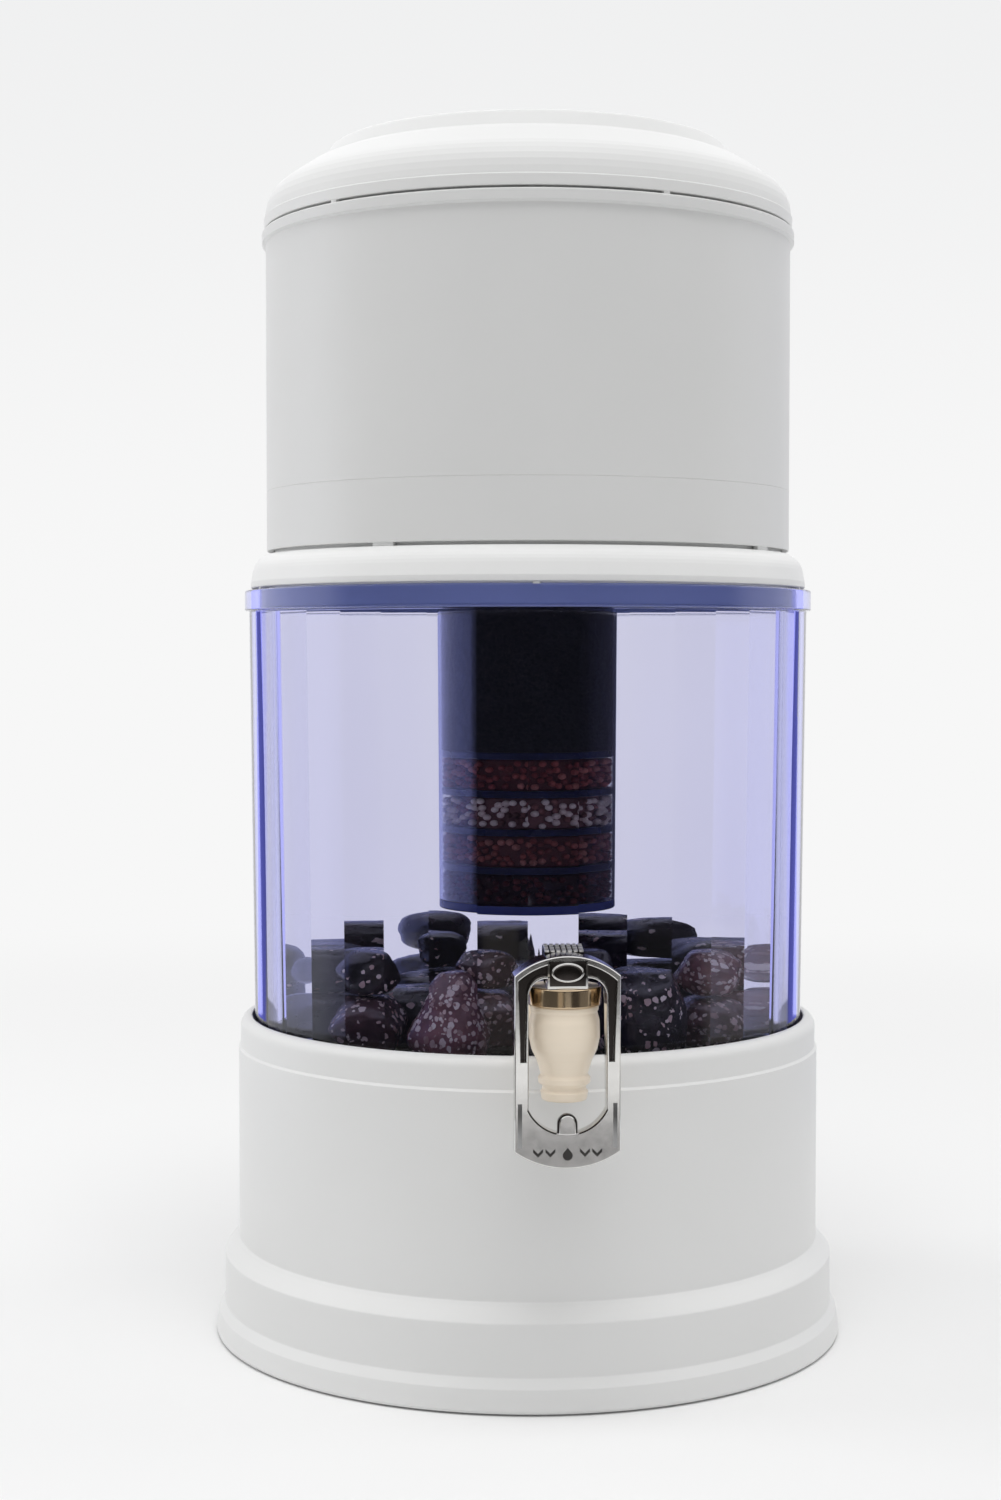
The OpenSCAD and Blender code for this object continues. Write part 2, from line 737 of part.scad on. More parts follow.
// A flat ring round the shank
module shank_gasket(radius) {
    color(silicone) along_shank(radius) difference() {
        cylinder(r = flange_r, h = gasket_h);
        translate([0, 0, -1]) cylinder(r = shank_r + fixed_fit, h = gasket_h + 2);
    }
}

module tap_outer_gasket() {
    shank_gasket(outer_gasket_r);
}

module tap_inner_gasket() {
    shank_gasket(land_in_r);
}

module tap_nut() {
    color(white) along_shank(land_in_r - gasket_h)
        hex_nut(2 * flange_r - 2, tap_nut_h, shank_r + fixed_fit);
}

module valve_stem() {
    color([0.9, 0.9, 0.88]) at_tap() difference() {
        union() {
            translate([0, 0, seal_top]) cylinder(r = chamber_r - 2, h = spring_seat - seal_top);
            translate([0, 0, seal_top]) cylinder(r = valve_stem_r, h = stem_top - seal_top);
            translate([0, 0, valve_seat + seal_skin]) cylinder(r = barb_r, h = seal_h);
        }
        translate([0, 0, pin_rise]) rotate([0, 90, 0])
            cylinder(r = pin_r + run_fit, h = 20, center = true);
    }
}

module valve_seal() {
    color(silicone) at_tap() translate([0, 0, valve_seat]) difference() {
        cylinder(r = chamber_r - 1.2, h = seal_h);
        translate([0, 0, seal_skin]) cylinder(r = barb_r + fixed_fit, h = seal_h);
    }
}

// The spring's wire as a ring of corners carried round a helix
module tap_spring() {
    corners = 8;
    steps = 18 * spring_turns;
    low = spring_seat + wire_r + 0.04;
    rise = neck_top - wire_r - 0.04 - low;
    points = [for (i = [0:steps], k = [0:corners - 1])
        let (
            a = 360 * spring_turns * i / steps,
            b = 360 * k / corners,
            r = spring_r + wire_r * cos(b)
        )
        [r * cos(a), r * sin(a), low + rise * i / steps + wire_r * sin(b)]];
    sides = [for (i = [0:steps - 1], k = [0:corners - 1])
        let (j = (k + 1) % corners)
        [i * corners + k, (i + 1) * corners + k, (i + 1) * corners + j, i * corners + j]];
    foot = [for (k = [0:corners - 1]) k];
    head = [for (k = [corners - 1:-1:0]) steps * corners + k];
    color([0.75, 0.75, 0.78]) at_tap() polyhedron(points, concat(sides, [foot, head]));
}

// ---------- Lever ----------

arch_r = 31;
heel_r = 35;
rail_lip = 2.4;
inner_lip = 0.8;
opening_top = lever_crown - 8.6;
opening_bottom = lever_bottom + 13.2;
groove_end = lever_crown - 40.5;

// Turns an outline drawn as seen from the front into a slab from y0 back to y1
module front_slab(y0, y1) {
    translate([0, y1, 0]) rotate([90, 0, 0]) linear_extrude(height = y1 - y0) children();
}

// The frame's outer outline: upright sides, an arched head and a curved foot, all drawn in by inset
module frame_outline(inset = 0) {
    half = lever_w / 2 - inset;
    arch_z = lever_crown - arch_r;
    heel_z = lever_bottom + heel_r;
    intersection() {
        translate([-half, lever_bottom - 1]) square([2 * half, lever_h + 2]);
        union() {
            translate([0, arch_z]) circle(r = arch_r - inset);
            translate([-half, lever_bottom - 1]) square([2 * half, arch_z - lever_bottom + 1]);
        }
        union() {
            translate([0, heel_z]) circle(r = heel_r - inset);
            translate([-half, heel_z]) square([2 * half, lever_crown - heel_z + 1]);
        }
    }
}

// The opening in the frame, grown by a lip
module opening_outline(lip = 0) {
    half = opening_w / 2 + lip;
    corner = 7;
    foot = 16.5 + lip;
    top = opening_top + lip;
    intersection() {
        union() {
            translate([-half, opening_bottom - 1]) square([2 * half, top - corner - opening_bottom + 1]);
            translate([-half + corner, opening_bottom]) square([2 * (half - corner), top - opening_bottom]);
            for (s = [-1, 1]) translate([s * (half - corner), top - corner]) circle(r = corner);
        }
        union() {
            translate([0, opening_bottom - lip + foot]) circle(r = foot);
            translate([-half, opening_bottom - lip + foot]) square([2 * half, lever_h]);
        }
    }
}

// The lever's side view, as [y, z]: deep at its head and thin at its foot
module side_slab(width) {
    back = lever_front + lever_depth;
    rotate([90, 0, 90]) translate([0, 0, -width / 2]) linear_extrude(height = width)
        polygon(rounded([
            [lever_front + 0.6, lever_bottom - 1, 0], [lever_front, lever_bottom + 6, 20],
            [lever_front, lever_crown + 1, 0], [back, lever_crown + 1, 0], [back, lever_crown - 6, 2],
            [lever_front + 8.5, lever_crown - 16, 6], [lever_front + 6.2, lever_bottom + 26, 40],
            [lever_front + 5.6, lever_bottom - 1, 0]
        ]));
}

module hub_block() {
    back = lever_front + lever_depth;
    foot_z = cap_top + heel_fit;
    translate([-hub_w / 2, 0, 0]) rotate([90, 0, 90]) linear_extrude(height = hub_w)
        polygon(rounded([
            [lever_front, foot_z + 1, 0], [-heel_arm, foot_z, 0], [6, foot_z, 2],
            [back + 5, lever_crown - 4, 3], [back + 5, lever_crown - 1, 0],
            [lever_front, lever_crown - 1.5, 0]
        ]));
}

// The ribbed pad behind the head, where a thumb presses
module thumb_pad() {
    back = lever_front + lever_depth;
    pad_length = 9.5;
    pitch = hub_w / pad_ribs;
    translate([0, back - 1, lever_crown - 3.6]) rotate([12, 0, 0]) difference() {
        translate([-hub_w / 2, 0, 0]) cube([hub_w, pad_length, 4.2]);
        for (i = [1:pad_ribs - 1]) {
            translate([-hub_w / 2 + i * pitch - 0.45, 1.5, 3.4]) cube([0.9, pad_length, 2]);
        }
    }
}

module tap_lever() {
    oval_w = 12;
    oval_h = 6.8;
    color(chrome) at_tap() difference() {
        union() {
            intersection() {
                side_slab(lever_w + 2);
                difference() {
                    front_slab(lever_front - 1, lever_depth) frame_outline();
                    front_slab(lever_front - 2, lever_depth + 1) opening_outline();
                }
            }
            front_slab(lever_front + 0.6, lever_front + 3.6) tongue();
            hub_block();
            thumb_pad();
        }
        front_slab(lever_front - 1, lever_front + 3.2) difference() {
            frame_outline(rail_lip);
            opening_outline(inner_lip);
            translate([-lever_w, lever_bottom - 1]) square([2 * lever_w, groove_end - lever_bottom]);
            translate([-hub_w / 2, cap_top - 1]) square([hub_w, lever_h]);
        }
        for (s = [-1, 1]) {
            translate([s * (lever_w / 2 - 2.1) - 0.9, lever_front - 1, lever_bottom + 8])
                cube([1.8, 1.6, 17]);
        }
        front_slab(lever_front - 1, lever_front + 0.7) stadium(oval_w, oval_h, cap_top + 6.4);
        translate([-valve_stem_r - 0.3, -5, 0]) cube([2 * valve_stem_r + 0.6, 10, pin_rise + 3.8]);
        translate([0, 0, pin_rise]) rotate([0, 90, 0])
            cylinder(r = pin_r + fixed_fit, h = hub_w + 2, center = true);
    }
}

// A slot with round ends, centred at a height
module stadium(width, height, z) {
    for (s = [-1, 1]) translate([s * (width - height) / 2, z]) circle(d = height);
    translate([-(width - height) / 2, z - height / 2]) square([width - height, height]);
}

// The tongue that stands up at the foot of the opening
module tongue() {
    tongue_top = opening_bottom + 7.1;
    round_z = tongue_top - tongue_w / 2;
    translate([-tongue_w / 2, opening_bottom - 2]) square([tongue_w, round_z - opening_bottom + 2]);
    translate([0, round_z]) circle(d = tongue_w);
}

module lever_pin() {
    color(chrome) at_tap() translate([0, 0, pin_rise]) rotate([0, 90, 0])
        cylinder(r = pin_r, h = hub_w, center = true);
}

base_stand();
rubber_ring();
clear_tank();
mineral_stones();
collar_ring();
upper_tank();
lid();
ceramic_dome();
dome_base();
dome_washer();
stem_nut();
cartridge_cap();
cap_seal();
cartridge_shell();
carbon_fill();
red_ball_layer();
white_ball_layer();
brown_ball_layer();
maroon_ball_layer();
separator_discs();
cartridge_outlet();
tap_body();
tap_cap();
tap_outer_gasket();
tap_inner_gasket();
tap_nut();
valve_stem();
valve_seal();
tap_spring();
tap_lever();
lever_pin();
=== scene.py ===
"""Looks of a gravity water filter: white tanks and base, a clear blue tank with stones, and a lever tap.

Sizes are in millimetres in the piece sections and become metres in the meshes.
"""

import math
import random

import bmesh
import bpy
from mathutils import Matrix, Vector, noise
from mathutils.bvhtree import BVHTree


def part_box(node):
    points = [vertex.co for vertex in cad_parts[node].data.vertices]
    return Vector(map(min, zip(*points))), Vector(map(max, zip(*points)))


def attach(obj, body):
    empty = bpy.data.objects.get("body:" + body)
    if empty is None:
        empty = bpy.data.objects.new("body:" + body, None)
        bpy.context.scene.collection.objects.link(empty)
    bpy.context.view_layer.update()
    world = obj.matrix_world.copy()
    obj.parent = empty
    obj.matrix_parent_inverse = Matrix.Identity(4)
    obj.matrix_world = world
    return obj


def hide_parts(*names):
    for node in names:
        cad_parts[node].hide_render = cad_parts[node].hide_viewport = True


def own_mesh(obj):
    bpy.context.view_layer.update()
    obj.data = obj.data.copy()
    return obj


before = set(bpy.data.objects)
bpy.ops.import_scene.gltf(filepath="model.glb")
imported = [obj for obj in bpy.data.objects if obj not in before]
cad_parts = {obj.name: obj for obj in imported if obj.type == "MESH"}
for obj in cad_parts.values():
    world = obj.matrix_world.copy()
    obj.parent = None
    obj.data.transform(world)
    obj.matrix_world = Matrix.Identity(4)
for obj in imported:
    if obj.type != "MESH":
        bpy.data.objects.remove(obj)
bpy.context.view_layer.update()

MM = 0.001
TAP_R = 160.021
TAP_Z = 158.0
FACETS = 36


# ---------- Outlines and meshes ----------


def corner_arc(before, corner, after, steps):
    """Points that round one corner of an outline by the corner's own radius."""
    p = Vector(corner[:2])
    u = (Vector(before[:2]) - p).normalized()
    v = (Vector(after[:2]) - p).normalized()
    half = u.angle(v) / 2
    centre = p + (u + v).normalized() * corner[2] / math.sin(half)
    a = p + u * corner[2] / math.tan(half) - centre
    b = p + v * corner[2] / math.tan(half) - centre
    start = math.atan2(a.y, a.x)
    sweep = (math.atan2(b.y, b.x) - start + math.pi) % (2 * math.pi) - math.pi
    count = max(2, math.ceil(steps * abs(sweep) / (math.pi / 2)))
    turns = [start + sweep * i / count for i in range(count + 1)]
    return [(centre.x + corner[2] * math.cos(t), centre.y + corner[2] * math.sin(t)) for t in turns]


def rounded(corners, steps):
    """A closed outline of corners (radius, height, fillet), with points that hold each flat next to a fillet."""
    outline = []
    for i, corner in enumerate(corners):
        if corner[2] == 0:
            outline.append(tuple(corner[:2]))
        else:
            outline += corner_arc(corners[i - 1], corner, corners[(i + 1) % len(corners)], steps)
    held = []
    for i, a in enumerate(outline):
        b = outline[(i + 1) % len(outline)]
        held.append(a)
        length = math.dist(a, b)
        if length > 1.5 and (a[0] > 0 or b[0] > 0):
            for share in (0.2 / length, 1 - 0.2 / length):
                held.append((a[0] + (b[0] - a[0]) * share, a[1] + (b[1] - a[1]) * share))
    return held


def lathe(corners, turns=180, steps=8):
    """A closed outline turned round the Z axis."""
    shape = bmesh.new()
    rings = []
    for radius, height in rounded(corners, steps):
        if radius < 1e-6:
            rings.append([shape.verts.new((0, 0, height * MM))])
        else:
            rings.append([
                shape.verts.new((
                    radius * MM * math.cos(2 * math.pi * k / turns),
                    radius * MM * math.sin(2 * math.pi * k / turns),
                    height * MM,
                ))
                for k in range(turns)
            ])
    for i, a in enumerate(rings):
        b = rings[(i + 1) % len(rings)]
        if len(a) == 1 and len(b) == 1:
            continue
        for k in range(turns):
            j = (k + 1) % turns
            corners_of_face = [a[k % len(a)], a[j % len(a)], b[j % len(b)], b[k % len(b)]]
            shape.faces.new(list(dict.fromkeys(corners_of_face)))
    bmesh.ops.recalc_face_normals(shape, faces=shape.faces)
    return shape


def slab(low, high, turn=0.0, edge=0.0):
    """A block between two corners, with softened edges, turned about the Z axis by some degrees."""
    shape = bmesh.new()
    bmesh.ops.create_cube(shape, size=1)
    size = Vector(high) - Vector(low)
    middle = (Vector(high) + Vector(low)) / 2
    shape.transform(Matrix.Translation(middle * MM) @ Matrix.Diagonal((*(size * MM), 1)))
    if edge:
        bmesh.ops.bevel(
            shape, geom=shape.edges[:], offset=edge * MM, segments=2, profile=0.5, affect="EDGES"
        )
    shape.transform(Matrix.Rotation(math.radians(turn), 4, "Z"))
    return shape


def to_tap(shape):
    """Moves a shape from the tap's own frame to its place on the tank."""
    shape.transform(Matrix.Translation((0, -TAP_R * MM, TAP_Z * MM)))
    return shape


def along_shank(shape):
    """Turns a lathe's height to run from the tap's axis back to the tank."""
    shape.transform(Matrix.Rotation(math.radians(-90), 4, "X"))
    return to_tap(shape)


def piece(name, shapes, material, body, replaces=(), sharp=35):
    """Joins shapes to one finished object that rides on a body."""
    mesh = bpy.data.meshes.new(name)
    whole = bmesh.new()
    for shape in shapes:
        part = bpy.data.meshes.new("part")
        shape.to_mesh(part)
        whole.from_mesh(part)
        bpy.data.meshes.remove(part)
        shape.free()
    whole.to_mesh(mesh)
    whole.free()
    return finished(name, mesh, material, body, replaces, sharp)


def finished(name, mesh, material, body, replaces=(), sharp=35):
    """Gives a mesh its shading, finish, body and slot."""
    mesh.shade_smooth()
    mesh.set_sharp_from_angle(angle=math.radians(sharp))
    mesh.materials.clear()
    mesh.materials.append(material)
    thing = bpy.data.objects.new(name, mesh)
    bpy.context.scene.collection.objects.link(thing)
    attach(thing, body)
    if replaces:
        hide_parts(*replaces)
    return thing


def baked(thing):
    """The plain mesh of an object with its modifiers applied; the object itself is removed."""
    bpy.context.view_layer.update()
    evaluated = thing.evaluated_get(bpy.context.evaluated_depsgraph_get())
    mesh = bpy.data.meshes.new_from_object(evaluated)
    bpy.data.objects.remove(thing)
    return mesh


def temporary(name, shape):
    """An object for a modifier to work on."""
    mesh = bpy.data.meshes.new(name)
    shape.to_mesh(mesh)
    shape.free()
    thing = bpy.data.objects.new(name, mesh)
    bpy.context.scene.collection.objects.link(thing)
    return thing


# ---------- Materials ----------


class Finish:
    """A node material with the few links that every finish here needs."""

    def __init__(self, name):
        self.material = bpy.data.materials.new(name)
        self.material.use_nodes = True
        self.nodes = self.material.node_tree.nodes
        self.links = self.material.node_tree.links
        self.shader = self.nodes["Principled BSDF"]
        self.place = self.nodes.new("ShaderNodeTexCoord")

    def add(self, kind, **values):
        node = self.nodes.new("ShaderNode" + kind)
        for key, value in values.items():
            if key in node.inputs:
                node.inputs[key].default_value = value
            else:
                setattr(node, key, value)
        return node

    def plain(self, **values):
        for key, value in values.items():
            self.shader.inputs[key.replace("_", " ")].default_value = value

    def speckle(self, scale, detail=3.0, rough=0.5):
        field = self.add("TexNoise", Scale=scale, Detail=detail, Roughness=rough)
        self.links.new(self.place.outputs["Object"], field.inputs["Vector"])
        return field.outputs["Fac"]

    def cells(self, scale, feature="F1", stretch=None, warp=0.0):
        field = self.add("TexVoronoi", Scale=scale, feature=feature)
        source = self.place.outputs["Object"]
        if warp:
            drift = self.add("TexNoise", Scale=520.0, Detail=2.0)
            self.links.new(source, drift.inputs["Vector"])
            shift = self.add("VectorMath", operation="MULTIPLY_ADD")
            shift.inputs[1].default_value = (warp, warp, warp)
            self.links.new(drift.outputs["Color"], shift.inputs[0])
            self.links.new(source, shift.inputs[2])
            source = shift.outputs[0]
        if stretch:
            squeeze = self.add("Mapping")
            squeeze.inputs["Scale"].default_value = stretch
            self.links.new(source, squeeze.inputs["Vector"])
            source = squeeze.outputs["Vector"]
        self.links.new(source, field.inputs["Vector"])
        return field

    def ramp(self, factor, stops, interpolation="LINEAR"):
        node = self.add("ValToRGB")
        node.color_ramp.interpolation = interpolation
        elements = node.color_ramp.elements
        while len(elements) < len(stops):
            elements.new(0.5)
        for element, (position, colour) in zip(elements, stops):
            element.position = position
            element.color = (*colour, 1)
        self.links.new(factor, node.inputs["Fac"])
        return node.outputs["Color"]

    def blend(self, factor, a, b):
        node = self.add("Mix", data_type="RGBA")
        for value, socket in ((factor, node.inputs[0]), (a, node.inputs[6]), (b, node.inputs[7])):
            if isinstance(value, bpy.types.NodeSocket):
                self.links.new(value, socket)
            elif isinstance(value, tuple):
                socket.default_value = (*value, 1)
            else:
                socket.default_value = value
        return node.outputs[2]

    def spread(self, factor, low, high):
        node = self.add("MapRange")
        node.inputs["To Min"].default_value = low
        node.inputs["To Max"].default_value = high
        self.links.new(factor, node.inputs["Value"])
        return node.outputs["Result"]

    def colour(self, socket):
        self.links.new(socket, self.shader.inputs["Base Color"])

    def gloss(self, socket):
        self.links.new(socket, self.shader.inputs["Roughness"])

    def relief(self, socket, distance, strength=1.0):
        bump = self.add("Bump", Strength=strength, Distance=distance)
        self.links.new(socket, bump.inputs["Height"])
        previous = self.shader.inputs["Normal"].links
        if previous:
            self.links.new(previous[0].from_socket, bump.inputs["Normal"])
        self.links.new(bump.outputs["Normal"], self.shader.inputs["Normal"])


def moulded(name, dark, light, rough_low, rough_high, grain=700.0, depth=0.000015):
    """Injection moulded plastic: faint flow clouds, uneven gloss and a fine skin."""
    f = Finish(name)
    f.colour(f.ramp(f.speckle(9.0), [(0.3, dark), (0.7, light)]))
    f.gloss(f.spread(f.speckle(38.0, 4.0), rough_low, rough_high))
    f.relief(f.speckle(grain, 2.0), depth)
    f.plain(IOR=1.49)
    return f


def clear(name, ior, rough_low, rough_high, absorbed, density, tint=(1.0, 1.0, 1.0)):
    """Clear plastic that takes its tint from its thickness."""
    f = Finish(name)
    f.plain(Transmission_Weight=1.0, IOR=ior)
    pale = tuple(0.985 * c for c in tint)
    f.colour(f.ramp(f.speckle(12.0), [(0.35, pale), (0.65, tint)]))
    f.gloss(f.spread(f.speckle(60.0, 4.0), rough_low, rough_high))
    f.relief(f.speckle(22.0, 2.0), 0.00003)
    absorb = f.add("VolumeAbsorption", Color=(*absorbed, 1), Density=density)
    f.links.new(absorb.outputs["Volume"], f.nodes["Material Output"].inputs["Volume"])
    return f


def fired_balls(name, shades, pit_dust_and_gap_shade):
    """Fired clay balls: each ball has its own shade from the list, with pits and dust; tone 0, which only the core
    behind the balls has, takes the pits' dark colour as painted shade between the balls.
    """
    f = Finish(name)
    tone = f.add("Attribute", attribute_name="tone")
    stops = [(0.0, pit_dust_and_gap_shade)]
    stops += [(0.02 + 0.98 * i / len(shades), shade) for i, shade in enumerate(shades)]
    own = f.ramp(tone.outputs["Fac"], stops, "CONSTANT")
    f.colour(f.blend(f.spread(f.speckle(900.0, 4.0), 0.0, 0.22), own, pit_dust_and_gap_shade))
    f.gloss(f.spread(f.speckle(500.0), 0.45, 0.75))
    f.relief(f.speckle(1500.0), 0.00008)
    return f


def rock():
    """Dark stone with pale grains of two sizes; the tone attribute sets how many a stone has."""
    f = Finish("rock")
    tone = f.add("Attribute", attribute_name="tone").outputs["Fac"]
    black = f.ramp(f.speckle(60.0, 6.0, 0.6), [(0.40, (0.006, 0.006, 0.010)), (0.70, (0.036, 0.020, 0.028))])
    maroon = f.ramp(f.speckle(75.0, 6.0, 0.6), [(0.35, (0.135, 0.052, 0.062)), (0.70, (0.310, 0.135, 0.150))])
    matrix = f.blend(f.ramp(tone, [(0.30, (0.0, 0.0, 0.0)), (0.75, (1.0, 1.0, 1.0))]), black, maroon)
    shade = matrix
    for scale, size, most in ((300.0, 0.42, 0.48), (560.0, 0.46, 0.46)):
        field = f.cells(scale, stretch=(1.0, 1.15, 0.85), warp=0.0018)
        near = f.add("Math", operation="LESS_THAN")
        near.inputs[1].default_value = size
        f.links.new(field.outputs["Distance"], near.inputs[0])
        split = f.add("SeparateColor")
        f.links.new(field.outputs["Color"], split.inputs["Color"])
        chosen = f.add("Math", operation="LESS_THAN")
        share = f.add("Math", operation="MULTIPLY_ADD")
        share.inputs[1].default_value = most
        share.inputs[2].default_value = 0.006
        f.links.new(tone, share.inputs[0])
        f.links.new(split.outputs["Red"], chosen.inputs[0])
        f.links.new(share.outputs[0], chosen.inputs[1])
        both = f.add("Math", operation="MULTIPLY")
        f.links.new(near.outputs[0], both.inputs[0])
        f.links.new(chosen.outputs[0], both.inputs[1])
        grain = f.ramp(
            split.outputs["Green"],
            [(0.0, (0.34, 0.18, 0.18)), (0.35, (0.74, 0.56, 0.55)), (1.0, (0.95, 0.86, 0.84))],
        )
        shade = f.blend(both.outputs[0], shade, grain)
    f.colour(shade)
    f.gloss(f.spread(f.speckle(90.0, 4.0), 0.14, 0.36))
    f.plain(IOR=1.62)
    f.relief(f.speckle(240.0, 5.0, 0.65), 0.0006)
    return f


def chrome(name, base, rough_low, rough_high, streak=(1.0, 1.0, 1.0)):
    """Plated metal with faint polishing marks."""
    f = Finish(name)
    f.plain(Metallic=1.0)
    squeeze = f.add("Mapping")
    squeeze.inputs["Scale"].default_value = streak
    f.links.new(f.place.outputs["Object"], squeeze.inputs["Vector"])
    marks = f.add("TexNoise", Scale=260.0, Detail=4.0)
    f.links.new(squeeze.outputs["Vector"], marks.inputs["Vector"])
    f.colour(f.ramp(marks.outputs["Fac"], [(0.3, tuple(0.94 * c for c in base)), (0.7, base)]))
    f.gloss(f.spread(marks.outputs["Fac"], rough_low, rough_high))
    f.relief(marks.outputs["Fac"], 0.000008)
    return f


white = moulded("white_shell", (0.805, 0.808, 0.801), (0.830, 0.832, 0.827), 0.30, 0.40)
# A lighter copy of the base's white plastic: painted light on the collar's up-facing slopes.
collar_white_painted_light = moulded("collar_shell_painted_light", (0.860, 0.863, 0.857), (0.885, 0.887, 0.882), 0.26, 0.36)
# A darker copy of the base's white plastic: painted shade on the upper tank's front wall.
upper_white_painted_shade = moulded("upper_tank_shell_painted_shade", (0.732, 0.735, 0.730), (0.757, 0.759, 0.755), 0.30, 0.40)
tank_clear = clear("blue_clear_tank", 1.38, 0.0, 0.002, (0.50, 0.50, 0.97), 32.0, (0.953, 0.953, 0.957))
shell_clear = clear("clear_cartridge", 1.50, 0.02, 0.06, (0.60, 0.62, 0.97), 18.0)
blue = moulded("blue_moulding", (0.030, 0.045, 0.200), (0.045, 0.065, 0.260), 0.16, 0.28)
disc_blue = moulded("disc_moulding", (0.010, 0.016, 0.075), (0.018, 0.026, 0.110), 0.22, 0.34)
ivory = moulded("ivory_tap", (0.945, 0.820, 0.658), (0.970, 0.852, 0.695), 0.26, 0.36)
ivory.plain(Subsurface_Weight=0.0)
sleeve_blue = moulded("blue_sleeve", (0.29, 0.37, 0.78), (0.36, 0.45, 0.90), 0.3, 0.45)
seal_rubber = moulded("pale_silicone", (0.66, 0.67, 0.69), (0.72, 0.73, 0.75), 0.45, 0.6, 500.0)
# A rubber ring under the base's foot; its black strip showing below the foot also paints the contact shadow line on the
# floor.
black_rubber_painted_shadow = moulded("black_rubber_ring_painted_shadow", (0.012, 0.012, 0.013), (0.025, 0.025, 0.026), 0.5, 0.7, 450.0)
ceramic = moulded("white_ceramic", (0.800, 0.780, 0.730), (0.850, 0.835, 0.790), 0.55, 0.8, 420.0, 0.00008)
lever_chrome = chrome("lever_plating", (0.76, 0.75, 0.73), 0.10, 0.17)
satin_chrome = chrome("pad_plating", (0.86, 0.85, 0.84), 0.32, 0.42)
# Near-black plating laid on the lever's groove floor, hub face, oval hollow and pad bed; round the tongue and along the
# opening's lower edge it is painted shade and a painted dark reflection.
dark_lining_painted_shade = chrome("dark_lining_with_painted_shade", (0.055, 0.048, 0.045), 0.18, 0.30)
painted_reflection_strip_metal = chrome("side_strip_painted_reflection", (0.34, 0.34, 0.34), 0.25, 0.35)
cap_metal = chrome("cap_plating", (0.68, 0.53, 0.36), 0.12, 0.20, (1.0, 1.0, 0.15))
wire = chrome("spring_wire", (0.58, 0.58, 0.60), 0.25, 0.35)
ink = moulded("etched_mark", (0.020, 0.018, 0.017), (0.035, 0.032, 0.030), 0.35, 0.5)

carbon = Finish("black_granules")
grit = carbon.cells(700.0)
carbon.colour(carbon.ramp(grit.outputs["Distance"], [(0.1, (0.004, 0.004, 0.006)), (0.6, (0.018, 0.018, 0.024))]))
carbon.gloss(carbon.spread(carbon.speckle(600.0), 0.35, 0.7))
carbon.plain(Specular_IOR_Level=0.25)
carbon.relief(grit.outputs["Distance"], 0.00012)

stone_finish = rock()
red_balls = fired_balls(
    "red_balls",
    [(0.330, 0.062, 0.066), (0.46, 0.110, 0.105), (0.24, 0.042, 0.046), (0.56, 0.21, 0.19)],
    (0.15, 0.028, 0.032),
)
white_balls = fired_balls(
    "white_balls",
    [
        (0.94, 0.82, 0.83), (0.34, 0.14, 0.14), (0.96, 0.86, 0.87), (0.16, 0.06, 0.06), (0.92, 0.78, 0.79),
        (0.90, 0.76, 0.77), (0.95, 0.84, 0.85), (0.14, 0.05, 0.05), (0.92, 0.78, 0.79),
    ],
    (0.22, 0.09, 0.10),
)
brown_balls = fired_balls(
    "brown_balls",
    [(0.32, 0.078, 0.076), (0.42, 0.120, 0.112), (0.23, 0.052, 0.052), (0.52, 0.22, 0.20)],
    (0.15, 0.034, 0.038),
)
maroon_balls = fired_balls(
    "maroon_balls",
    [(0.085, 0.008, 0.011), (0.12, 0.012, 0.016), (0.055, 0.006, 0.008), (0.16, 0.024, 0.026)],
    (0.045, 0.006, 0.008),
)


# ---------- Base ----------


def base():
    shell = lathe([
        (0, 124, 0), (126.7, 124, 1.5), (126.7, 40.7, 2), (133, 32.7, 2), (133, 4, 1), (121.5, 4, 0.4),
        (121.5, 0.7, 0.4), (139.6, 0.7, 0.2), (140, 1.7, 0.4), (138.7, 10.1, 1.4), (136.2, 14.2, 1),
        (136, 35.6, 1.4), (131, 41.3, 1), (129.7, 42.9, 0.8), (129.7, 127, 0.15), (128.8, 128, 0.3),
        (128.8, 141, 4.5), (123.5, 141, 0.8), (123.5, 127, 1), (0, 127, 0),
    ])
    ribs = [slab((30, -1, 119), (126.9, 1, 124.4), 45 * i, 0.4) for i in range(8)]
    piece("base_shell", [shell] + ribs, white.material, "base", ["base_stand"])


# ---------- Clear tank ----------


def facet_prism(low_r, high_r, low_z, high_z):
    """A tapering prism whose flats stand at the given radii."""
    shape = bmesh.new()
    levels = []
    for flat_r, height in ((low_r, low_z), (high_r, high_z)):
        reach = flat_r / math.cos(math.pi / FACETS) * MM
        turns = [2 * math.pi * (i + 0.5) / FACETS - math.pi / 2 for i in range(FACETS)]
        levels.append([shape.verts.new((reach * math.cos(t), reach * math.sin(t), height * MM)) for t in turns])
    for i in range(FACETS):
        j = (i + 1) % FACETS
        shape.faces.new([levels[0][i], levels[0][j], levels[1][j], levels[1][i]])
    shape.faces.new(levels[0])
    shape.faces.new(levels[1])
    bmesh.ops.recalc_face_normals(shape, faces=shape.faces)
    return shape


